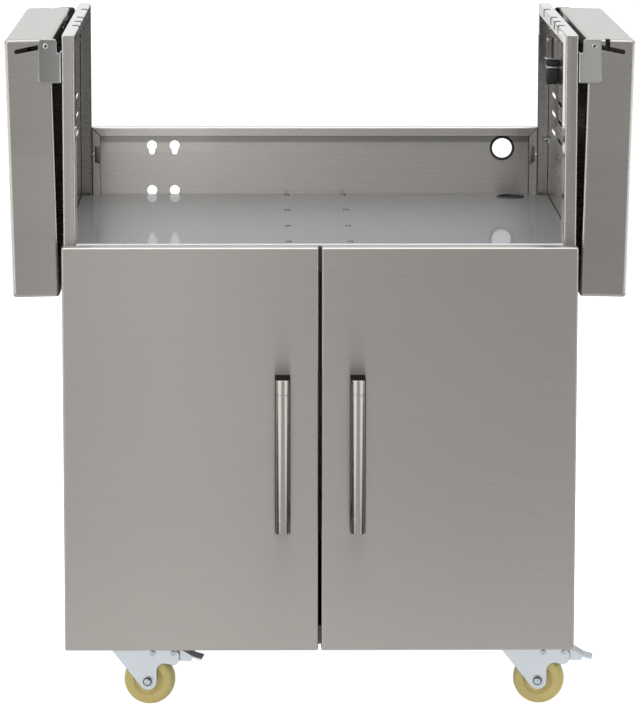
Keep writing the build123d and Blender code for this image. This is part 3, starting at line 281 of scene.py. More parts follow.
def shaded_under_lip(material):
    """Back panel: painted shadow, a dark band just under its top lip."""
    tree = material.node_tree
    place = axes(tree, "Object")
    shadow = ranged(tree, place["Z"], LIP_SHADOW_HEIGHTS, (1.0, LIP_SHADOW), "SMOOTHSTEP")
    behind = calculated(tree, "GREATER_THAN", place["Y"], LIP_SHADOW_BEHIND)
    return retoned(material, chosen(tree, behind, 1.0, shadow))


def shaded_walls(material):
    """Side panel: painted shade on the inner wall, darker upwards, and a wall less polished than the lips around
    it.
    """
    tree = material.node_tree
    place = axes(tree, "Object")
    inwards = calculated(tree, "MULTIPLY", place["X"], axes(tree, "Normal")["X"])
    wall = calculated(tree, "LESS_THAN", inwards, -SIDE_LIP_X)
    shade = ranged(tree, place["Z"], WALL_SHADE_HEIGHTS, (1.0, WALL_SHADE))
    across = calculated(tree, "ABSOLUTE", place["X"])
    side_lip = calculated(tree, "LESS_THAN", across, SIDE_LIP_X)
    top_lip = calculated(tree, "GREATER_THAN", place["Z"], SIDE_LIP_TOP)
    lips = calculated(tree, "MAXIMUM", side_lip, top_lip)
    coat = tree.nodes["Principled BSDF"].inputs["Coat Weight"]
    tree.links.new(spread(tree, lips, WALL_POLISH, coat.default_value), coat)
    return retoned(material, chosen(tree, wall, 1.0, shade))


def painted_bend_highlights(material, glint):
    """Sheet with a painted highlight on the bend where its front folds over to the top."""
    tree = material.node_tree
    facing = axes(tree, "Normal")
    bend = calculated(tree, "MULTIPLY", facing["Y"], facing["Z"])
    return retoned(material, ranged(tree, bend, BEND_FACING, (1.0, glint)))


def shaded_rough_apron(material):
    """Deck: painted shade on the front apron below the bend, which is also rougher."""
    tree = material.node_tree
    front = ranged(tree, axes(tree, "Normal")["Y"], APRON_FACING, (0, 1))
    low = calculated(tree, "LESS_THAN", axes(tree, "Object")["Z"], APRON_TOP)
    apron = calculated(tree, "MULTIPLY", front, low)
    socket, colour = feed(material, "Base Color")
    ends = {"i6": colour, "i7": (*APRON_SHADE_STEEL, 1)}
    mix = add_node(tree, "ShaderNodeMix", {"data_type": "RGBA"}, Factor=apron, **ends)
    tree.links.new(mix.outputs[2], socket)
    socket, gloss = feed(material, "Roughness")
    tree.links.new(chosen(tree, apron, gloss, APRON_ROUGHNESS), socket)
    return material


def plated_steel(name, colour, roughness, edge=0.0012):
    """Zinc plate with a faint crystalline mottle."""
    material, tree, shader = new_material(name)
    mottle = grain_noise(tree, MOTTLE_GRAIN, detail=3.0)
    tone = tinted(tree, mottle, [value * MOTTLE_TONE for value in colour], colour)
    gloss = spread(tree, mottle, roughness - MOTTLE_GLOSS, roughness + MOTTLE_GLOSS)
    tree.links.new(tone, shader.inputs["Base Color"])
    tree.links.new(gloss, shader.inputs["Roughness"])
    add_relief(tree, shader, mottle, MOTTLE_RELIEF, edge)
    set_sockets(shader, {"Metallic": 1})
    return material


def moulded(name, tones, roughness, speckle=900, milky=0.0):
    """Moulded rubber or plastic with a fine surface texture."""
    material, tree, shader = new_material(name)
    texture = grain_noise(tree, (speckle, speckle, speckle), detail=2.0)
    gloss = spread(tree, texture, roughness - SKIN_GLOSS, roughness + SKIN_GLOSS)
    tree.links.new(tinted(tree, texture, *tones), shader.inputs["Base Color"])
    tree.links.new(gloss, shader.inputs["Roughness"])
    add_relief(tree, shader, texture, SKIN_RELIEF)
    set_sockets(shader, {"Subsurface Weight": milky, "Subsurface Radius": MILKY_RADIUS,
                         "Subsurface Scale": MILKY_DEPTH})
    return material


deck_sheet = brushed_steel("deck_steel", DECK_STEEL, ACROSS_DECK, roughness=0.5, anisotropy=0.0,
                           bump=0.01, edge=0.003, polish=0.55)
door_sheet = brushed_steel("door_steel", DOOR_STEEL, roughness=0.30, anisotropy=0.95, edge=0.0013)
finishes = {
    "panel_steel": brushed_steel("panel_steel", STEEL, polish=0.7),
    "shaded_wall_steel": shaded_walls(brushed_steel("shaded_wall_steel", SHADED_WALL_STEEL, polish=1.0)),
    "lit_back_steel": shaded_under_lip(brushed_steel("lit_back_steel", LIT_BACK_STEEL, polish=0.7)),
    "shaded_gusset_steel": brushed_steel("shaded_gusset_steel", SHADED_GUSSET_STEEL, roughness=0.3, anisotropy=0.5,
                                  rim=0.1),
    "deck_steel": shaded_rough_apron(painted_bend_highlights(deck_sheet, glint=1.6)),
    "door_steel": painted_bend_highlights(door_sheet, glint=1.5),
    "shelf_steel": brushed_steel("shelf_steel", SHELF_STEEL, polish=0.5),
    "bracket_steel": brushed_steel("bracket_steel", BRACKET_STEEL, UPRIGHT_GRAIN, ALONG_Z,
                                   roughness=0.10, anisotropy=0.4, edge=0.0022),
    "handle_steel": brushed_steel("handle_steel", HANDLE_STEEL, UPRIGHT_GRAIN, ALONG_Z,
                                  roughness=0.16, anisotropy=0.3, rim=0.15),
    "fastener_steel": plated_steel("fastener_steel", SCREW_STEEL, roughness=0.3),
    "caster_zinc": plated_steel("caster_zinc", ZINC, roughness=0.36),
    "wheel_amber": moulded("wheel_amber", AMBER, roughness=0.42, speckle=120, milky=0.15),
    "shaded_pan_steel": brushed_steel("shaded_pan_steel", SHADED_PAN_STEEL, roughness=0.5, anisotropy=0.4),
    "black_rubber": moulded("black_rubber", RUBBER, roughness=0.6),
    "black_plastic": moulded("black_plastic", PLASTIC, roughness=0.5),
}

# Panels with a lighter or darker copy of the steel as painted light and shade (back panel lighter, side panels and
# base pan darker), and the record's slot for a finish that it doesn't name
PANEL_FINISHES = {"base_pan": "shaded_pan_steel", "upper_back_panel": "lit_back_steel",
                  "left_side_panel": "shaded_wall_steel", "right_side_panel": "shaded_wall_steel"}


def dress_nodes():
    """Gives each solid the finish of its material slot, or the copy with painted light and shade that its panel
    takes.
    """
    for node, slot in slot_of.items():
        slots = nodes[node].data.materials
        slots.clear()
        slots.append(finishes[PANEL_FINISHES.get(node, slot)])


# Turned hardware: radius and height at each step, millimetres
WHEEL_SIDE = ((4.1, 17.9), (11.4, 17.9), (12.0, 17.3), (13.0, 14.0), (13.8, 13.2), (19.6, 13.2),
              (20.4, 13.7), (21.2, 15.2), (22.2, 15.9), (24.0, 16.0), (31.5, 16.0), (33.2, 15.4),
              (34.6, 13.9), (35.8, 11.0), (36.8, 6.8), (37.3, 3.2), (37.5, 0.0))
AXLE_SIDE = ((4.0, 21.06), (8.0, 21.06), (8.0, 22.1), (7.5, 22.56), (5.0, 22.56), (5.0, 25.1),
             (4.6, 25.8), (3.6, 26.3), (1.7, 26.5), (1.3, 25.8), (0.4, 25.6))
# Painted shadow: black ring round each axle cap
CAP_SHADOW_RING = ((5.0, 22.6), (6.3, 22.6), (6.3, 24.4), (5.8, 25.0), (5.2, 25.0), (5.0, 24.7),
             (5.0, 22.6))
RIVET_SIDE = ((2.5, 21.06), (4.4, 21.06), (4.4, 21.5), (3.8, 22.2), (3.0, 22.55), (1.9, 22.55),
              (1.5, 21.8), (0.4, 21.6))
SCREW_FORM = ((1.2, -5.5), (2.0, -4.7), (2.0, 0.0), (4.0, 0.0), (4.0, 0.95), (3.7, 1.5),
              (3.1, 1.95), (2.2, 2.2))
PIN_FORM = ((4.5, -6.6), (5.0, -6.2), (5.0, -5.4), (4.6, -5.1), (3.0, -5.1), (3.0, 0.06),
            (3.9, 0.06), (3.7, 0.6), (3.0, 1.0), (2.2, 1.1), (1.9, 0.9), (1.7, -0.8), (0.4, -1.0))
# Painted shade: black disc in each pin's hollow end
PIN_BORE_SHADE = ((1.6, -0.7), (2.0, -0.5), (2.0, 1.15), (1.6, 1.3), (0.4, 1.1))
DECK_RIVET_FORM = ((3.2, -3.8), (3.6, -3.5), (3.6, -2.7), (3.2, -2.4), (2.4, -2.4), (2.4, -0.7),
                   (4.5, -0.7), (4.5, 0.05), (4.2, 0.6), (3.5, 1.1), (2.4, 1.45), (1.3, 1.6),
                   (0.4, 1.65))
ROD_FORM = ((1.0, 919.95), (1.5, 920.45), (1.5, 949.5), (1.0, 950.0))

# Cross recess of a screw: length, width and depth, and how far its cutter reaches above
CROSS_RECESS = (3.0, 0.8, 1.2)
RECESS_ABOVE = 1.0

# Points this near each other are merged: metres
MERGE_DISTANCE = 0.000005

# Casters: wheel place and the fork's rivets from the axle, millimetres
CASTERS = ("front_left", "front_right", "rear_left", "rear_right")
TRAIL = 38.0
WHEEL_R = 37.5
FORK_RIVETS = ((8.0, 42.0), (38.3, 42.8))

# Fasteners: places in millimetres
FRONT_Y = -247.5
BACK_Y = 322.5
DECK_TOP = 689.5
DECK_RIVET_X = 44.0
DECK_RIVET_DEPTHS = (20.5, 190.0, 370.0, 550.0)
BACK_SCREW_X = 345.64
BACK_SCREW_Y = 313.2
BACK_SCREW_HEIGHTS = (725.0, 600.0, 380.0, 170.0)
BRACKET_SCREW_X = 367.66
BRACKET_SCREWS = ((-233.5, 931.0), (-217.5, 950.0), (308.5, 931.0), (292.5, 950.0))
SHELF_PIN = (387.5, 971.0)

# Hose grommets: place, then bore, flange and how far the lip stands proud
BACK_PORT = (292.0, 320.0, 761.3)
BACK_GROMMET = (15.4, 19.2, 4.0)
DECK_PORT = (303.4, 281.2, 687.2)
DECK_GROMMET = (17.5, 21.7, 4.6)
GROMMET_NECK = 1.7
GROMMET_GROOVE = (0.06, -1.26)
GROMMET_BACK = -3.46

# Connector on the right wall: limits on each axis, then height and inset at each step
CONNECTOR_X = (346.3, 363.7)
CONNECTOR_Y = (124.5, 154.5)
CONNECTOR_BASE = 880.0
CONNECTOR_STEPS = ((0.0, 1.6), (2.0, 0.6), (8.0, 0.0), (22.0, 0.0), (23.4, 1.6), (27.4, 1.6),
                   (28.6, 0.3), (35.6, 0.3), (37.0, 1.4))
BAND_STEPS = ((24.0, 0.5), (24.4, 0.2), (26.4, 0.2), (26.8, 0.5))
RIB_COUNT = 5
RIB_MARGIN = 2.0
RIB_Y = (123.9, 125.5)
RIB_Z = (888.0, 901.0)
TOP_PLATE = ((344.3, 360.7), (122.5, 140.5), (918.75, 919.95))
ROD_PLACE = (355.0, 123.1, 0.0)
STRAP_SCREWS = ((348.9, 124.5, 947.0), (360.3, 124.5, 947.0))
STRAP_SCREW_SIZE = 0.6

# Back panel corners: lip, gussets with their screws, and the dark seams
LIP_FACE_Y = 305.2
LIP_CORNER = (333.9, 781.7)
LIP_OUTER = (346.4, 795.0)
TAB_X = (334.2, 342.0)
TAB_Z = (735.5, 766.0)
TAB_T = 0.8
TAB_SLOPE = (0.5, 0, -1)
TAB_SLOPE_RISE = 2.0
TAB_SCREW = (344.4, 752.5)
TAB_SCREW_SIZE = 0.55
MITRE_HALF = (0.12, 0.55)
MITRE_PROUD = 0.1
SIDE_SEAM_X = (345.9, 346.9)
SIDE_SEAM_Y = (305.0, 305.22)
SIDE_SEAM_Z = (690.0, 793.5)

# Clip on the right wall: limits of its leaf and ledge on each axis
CLIP_LEAF = ((362.8, 363.8), (294.0, 319.0), (768.0, 778.0))
CLIP_LEDGE = ((355.8, 363.8), (294.0, 319.0), (777.0, 778.2))
CLIP_SCREWS = ((362.8, 300.0, 772.5), (362.8, 313.0, 772.5))
CLIP_SCREW_SIZE = 0.7


def begin(adder, name, **settings):
    """Adds a primitive by itself and opens it for editing, all selected."""
    bpy.ops.object.select_all(action="DESELECT")
    adder(**settings)
    piece = bpy.context.object
    piece.name = name
    bpy.ops.object.mode_set(mode="EDIT")
    bpy.ops.mesh.select_all(action="SELECT")
    return piece


def close(piece):
    """Merges doubles, turns faces outwards and leaves edit mode with the place in the mesh."""
    bpy.ops.mesh.select_all(action="SELECT")
    bpy.ops.mesh.remove_doubles(threshold=MERGE_DISTANCE)
    bpy.ops.mesh.normals_make_consistent(inside=False)
    bpy.ops.object.mode_set(mode="OBJECT")
    bpy.ops.object.transform_apply(location=True, rotation=True, scale=True)
    return piece


def turned(name, profile, sides=40, ring=False):
    """Turned piece on Z: a disc or a hoop extruded through steps of radius and height."""
    fill = "NOTHING" if ring else "NGON"
    radius, height = profile[0]
    piece = begin(bpy.ops.mesh.primitive_circle_add, name, vertices=sides, radius=radius * MM,
                  fill_type=fill, location=(0, 0, height * MM))
    for (radius, height), (next_radius, next_height) in zip(profile, profile[1:]):
        rise = (0, 0, (next_height - height) * MM)
        bpy.ops.mesh.extrude_region_move(TRANSFORM_OT_translate={"value": rise})
        scale = (next_radius / radius, next_radius / radius, 1)
        bpy.ops.transform.resize(value=scale, center_override=(0, 0, next_height * MM))
    return close(piece)


def both_ends(side):
    """Whole profile from the half above the middle plane."""
    return [(radius, -height) for radius, height in reversed(side)] + list(side)


def standing(place, axis=(0, 0, 1), size=1.0):
    """Placing that stands a piece along a direction, at a point in millimetres and at a size."""
    turn = Vector(axis).to_track_quat("Z", "Y").to_matrix().to_4x4()
    return Matrix.Translation(Vector(place) * MM) @ turn @ Matrix.Scale(size, 4)


def pick(*pieces):
    """Selects pieces and nothing else, the first one active."""
    bpy.ops.object.select_all(action="DESELECT")
    for piece in pieces:
        piece.select_set(True)
    bpy.context.view_layer.objects.active = pieces[0]


def copy_at(pattern, placing):
    """Copy of a pattern with its own mesh, set at a placing."""
    pick(pattern)
    bpy.ops.object.duplicate()
    copy = bpy.context.object
    copy.matrix_world = placing
    bpy.ops.object.transform_apply(location=True, rotation=True, scale=True)
    return copy


def joined(name, pieces):
    """Several meshes as one piece."""
    pick(*pieces)
    if len(pieces) > 1:
        bpy.ops.object.join()
    pieces[0].name = name
    return pieces[0]


def repeated(name, pattern, placings):
    """One piece made of copies of a pattern."""
    return joined(name, [copy_at(pattern, placing) for placing in placings])


def discard(*patterns):
    """Removes patterns that have been copied."""
    for pattern in patterns:
        bpy.data.objects.remove(pattern)


def modified(piece, kind, **settings):
    """Applies one modifier."""
    pick(piece)
    modifier = piece.modifiers.new(kind.lower(), kind)
    for key, value in settings.items():
        setattr(modifier, key, value)
    bpy.ops.object.modifier_apply(modifier=modifier.name)
    return piece


def softened(piece, width, segments=2):
    """Rounds the sharp edges of a piece by a width in millimetres."""
    return modified(piece, "BEVEL", width=width * MM, segments=segments, limit_method="ANGLE")


def finished(piece, finish, body, *replaced, angle=35):
    """Smooths a piece, gives it its finish and sets it on its body in place of solids."""
    pick(piece)
    bpy.ops.object.shade_smooth_by_angle(angle=math.radians(angle))
    piece.data.materials.clear()
    piece.data.materials.append(finishes[finish])
    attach(piece, body)
    if replaced:
        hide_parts(*replaced)


def cast_block(name, x, y, z):
    """Block between limits in millimetres, open for editing."""
    middle = [sum(limits) / 2 * MM for limits in (x, y, z)]
    size = [(limits[1] - limits[0]) * MM for limits in (x, y, z)]
    return begin(bpy.ops.mesh.primitive_cube_add, name, size=1, location=middle, scale=size)


def cross_screw():
    """Low domed screw with a cross recess."""
    screw = turned("screw", SCREW_FORM, sides=32)
    length, width, depth = CROSS_RECESS
    top = SCREW_FORM[-1][1]
    heights = (top - depth, top + RECESS_ABOVE)
    for slot_x, slot_y in ((length, width), (width, length)):
        limits = ((-slot_x / 2, slot_x / 2), (-slot_y / 2, slot_y / 2), heights)
        cutter = close(cast_block("recess", *limits))
        modified(screw, "BOOLEAN", object=cutter, operation="DIFFERENCE")
        discard(cutter)
    return screw


def joint_named(name):
    """Joint of the frame by its name."""
    return next(joint for joint in frame["joints"] if joint["name"] == name)


def across_caster(corner, along, height):
    """Placing with Z along a caster's axle, at a place in its side view in millimetres."""
    swivel = joint_named(f"{corner}_swivel")["pos_m"]
    axle = joint_named(f"{corner}_wheel_spin")["axis"]
    trail = Vector((axle[1], -axle[0], 0))
    place = Vector((swivel[0], swivel[1], 0)) + trail * along * MM + Vector((0, 0, height * MM))
    return Matrix.Translation(place) @ Vector(axle).to_track_quat("Z", "Y").to_matrix().to_4x4()


def model_casters():
    """Moulded wheels, capped axles with black rings as painted shadow round the caps, and dimpled rivets, on all
    four casters.
    """
    wheel = turned("wheel", both_ends(WHEEL_SIDE), sides=72, ring=True)
    axle = turned("axle", both_ends(AXLE_SIDE), sides=48)
    rivet = turned("rivet", both_ends(RIVET_SIDE))
    ring = turned("ring", CAP_SHADOW_RING, sides=48, ring=True)
    for corner in CASTERS:
        centre = across_caster(corner, TRAIL, WHEEL_R)
        wheel_node = f"{corner}_wheel"
        moulded_wheel = repeated(f"{corner}_moulded_wheel", wheel, [centre])
        finished(moulded_wheel, slot_of[wheel_node], wheel_node, wheel_node)
        pins = [copy_at(axle, centre)]
        for along, above in FORK_RIVETS:
            pins.append(copy_at(rivet, across_caster(corner, TRAIL + along, WHEEL_R + above)))
        pin_node = f"{corner}_caster_pins"
        axle_and_rivets = joined(f"{corner}_axle_and_rivets", pins)
        finished(axle_and_rivets, slot_of[pin_node], f"{corner}_caster", pin_node)
        # Black rings as painted shadow round the axle caps
        turned_over = centre @ Matrix.Rotation(math.pi, 4, "X")
        rings = repeated(f"{corner}_axle_cap_shadow_rings", ring, [centre, turned_over])
        finished(rings, "black_plastic", f"{corner}_caster")
    discard(wheel, axle, rivet, ring)


def model_fasteners():
    """Cross-head screws, shelf pins with hollow ends holding black discs as painted shade, and the domed rivets in
    the deck in dark steel as painted shade.
    """
    back = []
    bracket = []
    pins = []
    for side in SIDES:
        for height in BACK_SCREW_HEIGHTS:
            back.append(standing((side * BACK_SCREW_X, BACK_SCREW_Y, height), (-side, 0, 0)))
        for depth, height in BRACKET_SCREWS:
            bracket.append(standing((side * BRACKET_SCREW_X, depth, height), (side, 0, 0)))
        for depth, outwards in ((FRONT_Y, -1), (BACK_Y, 1)):
            pins.append(standing((side * SHELF_PIN[0], depth, SHELF_PIN[1]), (0, outwards, 0)))
    screw = cross_screw()
    back_screws = repeated("back_panel_cross_screws", screw, back)
    finished(back_screws, "fastener_steel", "cart", "back_panel_screws")
    bracket_screws = repeated("bracket_cross_screws", screw, bracket)
    finished(bracket_screws, "fastener_steel", "cart", "shelf_bracket_screws")

    pin = turned("pin", PIN_FORM, sides=36)
    hollow_pins = repeated("shelf_hollow_pins", pin, pins)
    finished(hollow_pins, "fastener_steel", "cart", "shelf_pivot_pins")
    # Painted shade: black discs in the pins' hollow ends
    bore = turned("bore", PIN_BORE_SHADE, sides=24)
    finished(repeated("shelf_pin_bore_shades", bore, pins), "black_plastic", "cart")

    rivet = turned("deck_rivet", DECK_RIVET_FORM, sides=32)
    rivets = []
    for depth in DECK_RIVET_DEPTHS:
        for side in SIDES:
            rivets.append(standing((side * DECK_RIVET_X, FRONT_Y + depth, DECK_TOP)))
    # Painted shade: the deck rivets take the dark copy of the steel
    finished(repeated("deck_domed_rivets", rivet, rivets), "shaded_gusset_steel", "cart", "deck_rivets")
    discard(screw, pin, bore, rivet)


def grommet_ring(name, placing, bore, flange, proud):
    """Rubber grommet with a rounded lip that stands proud of its sheet."""
    neck = bore + GROMMET_NECK
    front, back = GROMMET_GROOVE
    lip = ((bore, proud - 1.2), (bore + 0.5, proud - 0.4), ((bore + flange) / 2, proud),
           (flange - 1.0, proud - 0.5), (flange - 0.2, proud - 1.5), (flange, front))
    groove = ((neck, front), (neck, back), (flange, back))
    rear = ((flange, -2.2), (flange - 0.6, -3.1), (flange - 1.2, GROMMET_BACK),
            (bore + 0.5, GROMMET_BACK), (bore, -2.9))
    ring = turned(name, lip + groove + rear + lip[:1], sides=72, ring=True)
    piece = repeated(name, ring, [placing])
    discard(ring)
    return piece


def model_grommets():
    """Rubber rings in the back panel's and the deck's hose ports."""
    back = grommet_ring("back_port_grommet", standing(BACK_PORT, (0, -1, 0)), *BACK_GROMMET)
    finished(back, "black_rubber", "cart", "back_hose_grommet", angle=60)
    deck = grommet_ring("deck_port_grommet", standing(DECK_PORT), *DECK_GROMMET)
    finished(deck, "black_rubber", "cart", "deck_hose_grommet", angle=60)


def stepped_block(name, x, y, base, steps):
    """Block extruded upwards from a plate through steps of height and inset."""
    width = x[1] - x[0]
    depth = y[1] - y[0]
    middle = (sum(x) / 2 * MM, sum(y) / 2 * MM)
    rise, inset = steps[0]
    start = (*middle, (base + rise) * MM)
    piece = begin(bpy.ops.mesh.primitive_plane_add, name, size=1, location=start)
    size = ((width - 2 * inset) * MM, (depth - 2 * inset) * MM, 1)
    bpy.ops.transform.resize(value=size, center_override=start)
    for (rise, inset), (next_rise, next_inset) in zip(steps, steps[1:]):
        lift = (0, 0, (next_rise - rise) * MM)
        bpy.ops.mesh.extrude_region_move(TRANSFORM_OT_translate={"value": lift})
        scale = ((width - 2 * next_inset) / (width - 2 * inset),
                 (depth - 2 * next_inset) / (depth - 2 * inset), 1)
        bpy.ops.transform.resize(value=scale, center_override=(*middle, (base + next_rise) * MM))
    return close(piece)


def model_connector():
    """Two-part plug body with a waist, a grey band, ribs and the plate, rod and screws above it."""
    body = stepped_block("body", CONNECTOR_X, CONNECTOR_Y, CONNECTOR_BASE, CONNECTOR_STEPS)
    parts = [softened(body, 0.5)]
    pitch = (CONNECTOR_X[1] - CONNECTOR_X[0] - 2 * RIB_MARGIN) / RIB_COUNT
    for place in range(RIB_COUNT):
        left = CONNECTOR_X[0] + RIB_MARGIN + (place + 0.25) * pitch
        rib = close(cast_block("rib", (left, left + pitch / 2), RIB_Y, RIB_Z))
        parts.append(softened(rib, 0.3))
    moulded_body = joined("connector_moulded_body", parts)
    finished(moulded_body, "black_plastic", "cart", "connector_block")
    band = stepped_block("connector_grey_band", CONNECTOR_X, CONNECTOR_Y, CONNECTOR_BASE,
                         BAND_STEPS)
    finished(softened(band, 0.3), "fastener_steel", "cart")

    plate = close(cast_block("connector_top_plate", *TOP_PLATE))
    finished(softened(plate, 0.3), "caster_zinc", "cart")
    rod = turned("rod", ROD_FORM, sides=20)
    finished(repeated("connector_wire_rod", rod, [standing(ROD_PLACE)]), "black_rubber", "cart")
    screw = cross_screw()
    places = [standing(place, (0, -1, 0), STRAP_SCREW_SIZE) for place in STRAP_SCREWS]
    finished(repeated("connector_strap_screws", screw, places), "fastener_steel", "cart")
    discard(rod, screw)


def corner_tab(side):
    """Gusset on one lip of the back panel: a plate cut to a slope below."""
    tab = cast_block("tab", TAB_X, (LIP_FACE_Y - TAB_T, LIP_FACE_Y), TAB_Z)
    low_corner = (TAB_X[0] * MM, 0, (TAB_Z[0] + TAB_SLOPE_RISE) * MM)
    bpy.ops.mesh.bisect(plane_co=low_corner, plane_no=TAB_SLOPE, use_fill=True, clear_outer=True)
    softened(close(tab), 0.25)
    if side > 0:
        return tab
    half_turn = Matrix.Rotation(math.pi, 4, "Z")
    copy = copy_at(tab, Matrix.Translation((0, (2 * LIP_FACE_Y - TAB_T) * MM, 0)) @ half_turn)
    discard(tab)
    return copy


def mitre_seam(side):
    """Thin dark line along the mitre of one lip corner."""
    run = Vector((side * (LIP_OUTER[0] - LIP_CORNER[0]), 0, LIP_OUTER[1] - LIP_CORNER[1]))
    half_x, half_y = MITRE_HALF
    limits = ((-half_x, half_x), (-half_y, half_y), (-run.length / 2, run.length / 2))
    pattern = softened(close(cast_block("mitre", *limits)), 0.1, segments=1)
    middle = (side * (LIP_OUTER[0] + LIP_CORNER[0]) / 2, LIP_FACE_Y - MITRE_PROUD,
              (LIP_OUTER[1] + LIP_CORNER[1]) / 2)
    seam = copy_at(pattern, standing(middle, run))
    discard(pattern)
    return seam


def model_corners():
    """Corner gussets with their screws, seams in the lip, and the clip on the right wall."""
    tabs = [corner_tab(side) for side in SIDES]
    # Painted shade: the gussets take the dark copy of the steel
    finished(joined("back_corner_gussets", tabs), "shaded_gusset_steel", "cart")
    screw = cross_screw()
    places = [standing((side * TAB_SCREW[0], LIP_FACE_Y, TAB_SCREW[1]), (0, -1, 0), TAB_SCREW_SIZE)
              for side in SIDES]
    finished(repeated("back_corner_screws", screw, places), "fastener_steel", "cart")
    seams = []
    for side in SIDES:
        seams.append(mitre_seam(side))
        seam_x = sorted(side * limit for limit in SIDE_SEAM_X)
        side_seam = close(cast_block("side_seam", seam_x, SIDE_SEAM_Y, SIDE_SEAM_Z))
        seams.append(softened(side_seam, 0.08, segments=1))
    finished(joined("back_mitre_seams", seams), "black_rubber", "cart")

    leaf = softened(close(cast_block("leaf", *CLIP_LEAF)), 0.3)
    ledge = softened(close(cast_block("ledge", *CLIP_LEDGE)), 0.3)
    finished(joined("wall_clip", [leaf, ledge]), "caster_zinc", "cart")
    places = [standing(place, (-1, 0, 0), CLIP_SCREW_SIZE) for place in CLIP_SCREWS]
    finished(repeated("wall_clip_screws", screw, places), "fastener_steel", "cart")
    discard(screw)


# Studio: metres, watts, and glow where 1 is white
WORLD_LIGHT = 0.3
WORLD_SEEN = 1.0
FLOOR_SIZE = 40.0
FLOOR_DROP = 0.0002
FLOOR_TONE = 0.8
FLOOR_GLOW = 0.15
FLOOR_SEEN = 0.95
FLOOR_MIRRORED = 0.6
LAMP_TARGET = (0, 0, 0.5)
LAMPS = (("top_softbox", (0, -0.6, 3.6), (4.0, 3.0), 95),
         ("left_key", (-2.6, -3.0, 2.2), (1.6, 1.6), 40))
BOARD_LIFT = 0.002
FLOOR = None

# Boards on the floor and upright cards: x, y and z limits, then the glow at the left and right
# end along the edge near the cart or the top, and along the other edge where it differs
BOARDS = (
    ("near_left_board", (-0.9, -0.2), (-2.2, -0.8), FLOOR, (0.74, 0.98), (0.64, 1.09)),
    ("near_right_board", (-0.2, 0.9), (-2.2, -0.8), FLOOR, (0.97, 0.88), (1.04, 0.80)),
    ("middle_left_board", (-0.9, -0.2), (-4.0, -2.2), FLOOR, (0.64, 1.10), (0.58, 1.10)),
    ("middle_right_board", (-0.2, 0.9), (-4.0, -2.2), FLOOR, (1.08, 0.80), (0.95, 0.35)),
    ("far_left_board", (-0.9, -0.2), (-5.6, -4.0), FLOOR, (0.58, 1.10), (0.46, 1.08)),
    ("far_right_board", (-0.2, 0.9), (-5.6, -4.0), FLOOR, (0.82, 0.28), (0.50, 0.08)),
    ("left_front_card", (-1.6, -0.65), (-5.6, -5.6), (0, 2.2), (0.40, 1.03), (0.50, 1.32)),
    ("left_band_card", (-0.65, -0.24), (-5.6, -5.6), (0, 2.2), (0.84, 2.00), (0.98, 2.40)),
    ("middle_front_card", (-0.24, 0.14), (-5.6, -5.6), (0, 2.2), (0.85, 0.85)),
    ("right_front_card", (0.14, 3.0), (-5.6, -5.6), (0, 4.0), (0.60, 0.15)),
    ("left_bracket_card", (-1.10, -0.60), (-5.5, -5.5), (0.2, 0.8), (0.32, 0.32)),
    ("right_bracket_card", (0.72, 1.24), (-5.5, -5.5), (0.2, 0.8), (1.20, 1.20)),
    ("left_glow_board", (-3.2, -1.0), (-4.0, -1.15), FLOOR, (2.2, 2.2)),
    ("right_glow_board", (1.2, 3.2), (-4.0, -1.15), FLOOR, (2.0, 2.0)),
    ("left_dark_board", (-4.0, -0.95), (-1.15, -0.2), FLOOR, (0.03, 0.03)),
    ("right_dark_board", (0.95, 4.0), (-1.15, -0.2), FLOOR, (0.03, 0.03)),
    ("left_edge_board", (-9.0, -3.3), (-6.0, 5.0), FLOOR, (4.0, 4.0)),
    ("right_edge_board", (3.3, 9.0), (-6.0, 5.0), FLOOR, (4.0, 4.0)),
    ("rear_dark_board", (-3.0, 3.0), (2.4, 6.0), FLOOR, (0.03, 0.03)),
    ("rear_left_card", (-3.0, -0.07), (4.5, 4.5), (0, 0.95), (0.03, 0.03)),
    ("rear_right_card", (0.006, 3.0), (4.5, 4.5), (0, 0.575), (0.03, 0.03)),
    ("rear_glow_card", (-0.07, 0.006), (4.6, 4.6), (0, 0.575), (1.3, 1.3)),
    ("rear_high_card", (0.12, 3.0), (4.5, 4.5), (0.575, 0.95), (0.03, 0.03)),
)


def add_lamp(name, place, size, power):
    """Soft rectangular lamp aimed at the cart."""
    data = bpy.data.lights.new(name, "AREA")
    data.shape = "RECTANGLE"
    data.size, data.size_y = size
    data.energy = power
    lamp = bpy.data.objects.new(name, data)
    lamp.location = place
    aim = Vector(LAMP_TARGET) - Vector(place)
    lamp.rotation_euler = aim.to_track_quat("-Z", "Y").to_euler()
    bpy.context.scene.collection.objects.link(lamp)


def add_plane(name, size, place):
    """Plane of the studio, lying flat."""
    bpy.ops.object.select_all(action="DESELECT")
    bpy.ops.mesh.primitive_plane_add(size=size, location=place)
    plane = bpy.context.object
    plane.name = name
    return plane


def seen_rays(tree):
    """1 for a camera ray, and 1 for a mirror or glass ray."""
    path = add_node(tree, "ShaderNodeLightPath").outputs
    mirrored = calculated(tree, "MAXIMUM", path["Is Glossy Ray"], path["Is Transmission Ray"])
    return path["Is Camera Ray"], mirrored


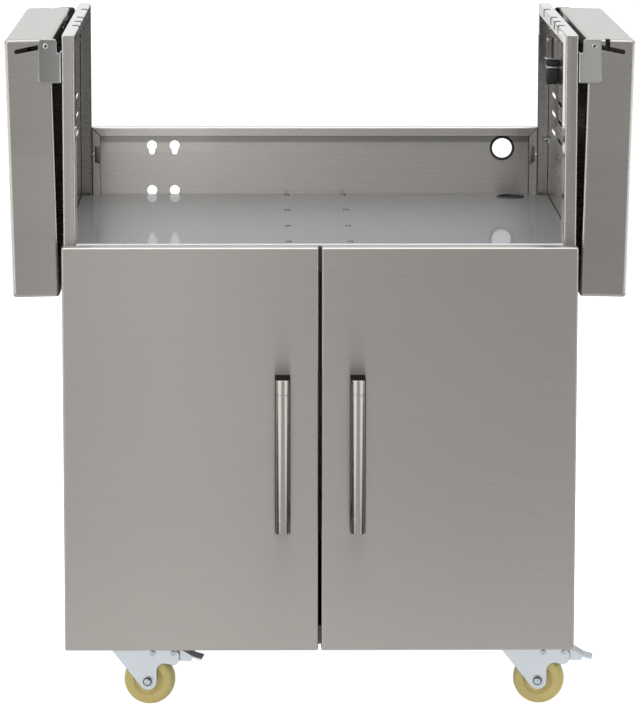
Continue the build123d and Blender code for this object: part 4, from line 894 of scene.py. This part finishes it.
def add_board(name, x, y, z, near, far=None):
    """Board on the floor, or upright where z is given, that only reflections see."""
    low, high = z or (cad_box[0][2] + BOARD_LIFT, cad_box[0][2] + BOARD_LIFT)
    board = add_plane(name, 1, (sum(x) / 2, sum(y) / 2, (low + high) / 2))
    board.rotation_euler.x = math.radians(90) if z else 0
    board.scale = (x[1] - x[0], high - low if z else y[1] - y[0], 1)
    material, tree, shader = new_material(name)
    tree.nodes.remove(shader)
    place = axes(tree, "Object")
    edges = [ranged(tree, place["X"], (-0.5, 0.5), glow) for glow in (near, far or near)]
    glow = add_node(tree, "ShaderNodeEmission",
                    Strength=ranged(tree, place["Y"], (0.5, -0.5), edges))
    tree.links.new(glow.outputs[0], tree.nodes["Material Output"].inputs["Surface"])
    board.data.materials.append(material)
    board.visible_camera = False
    board.visible_diffuse = False
    board.visible_transmission = False
    board.visible_shadow = False


def light_world():
    """White surround that lights softly and shows white in the picture and in the steel."""
    world = bpy.data.worlds.new("studio_world")
    world.use_nodes = True
    bpy.context.scene.world = world
    tree = world.node_tree
    background = tree.nodes["Background"].inputs
    seen = calculated(tree, "MAXIMUM", *seen_rays(tree))
    tree.links.new(spread(tree, seen, WORLD_LIGHT, WORLD_SEEN), background["Strength"])
    background["Color"].default_value = (1, 1, 1, 1)


def lay_floor():
    """Pale floor that keeps the cart's shadow."""
    floor = add_plane("studio_floor", FLOOR_SIZE, (0, 0, cad_box[0][2] - FLOOR_DROP))
    material, tree, shader = new_material("studio_floor")
    set_sockets(shader, {"Base Color": (FLOOR_TONE, FLOOR_TONE, FLOOR_TONE, 1), "Roughness": 0.9,
                         "Specular IOR Level": 0.1, "Emission Color": (1, 1, 1, 1)})
    camera_ray, mirror_ray = seen_rays(tree)
    seen = spread(tree, camera_ray, FLOOR_GLOW, FLOOR_SEEN)
    mirrored = spread(tree, mirror_ray, FLOOR_GLOW, FLOOR_MIRRORED)
    lift = calculated(tree, "MAXIMUM", seen, mirrored)
    tree.links.new(lift, shader.inputs["Emission Strength"])
    floor.data.materials.append(material)


def build_studio():
    """Surround, floor, soft lamps and the boards that shape the reflections."""
    light_world()
    lay_floor()
    for lamp in LAMPS:
        add_lamp(*lamp)
    for board in BOARDS:
        add_board(*board)


add_camera()
dress_nodes()
model_casters()
model_fasteners()
model_grommets()
model_connector()
model_corners()
build_studio()
bpy.context.scene.view_settings.view_transform = "Standard"
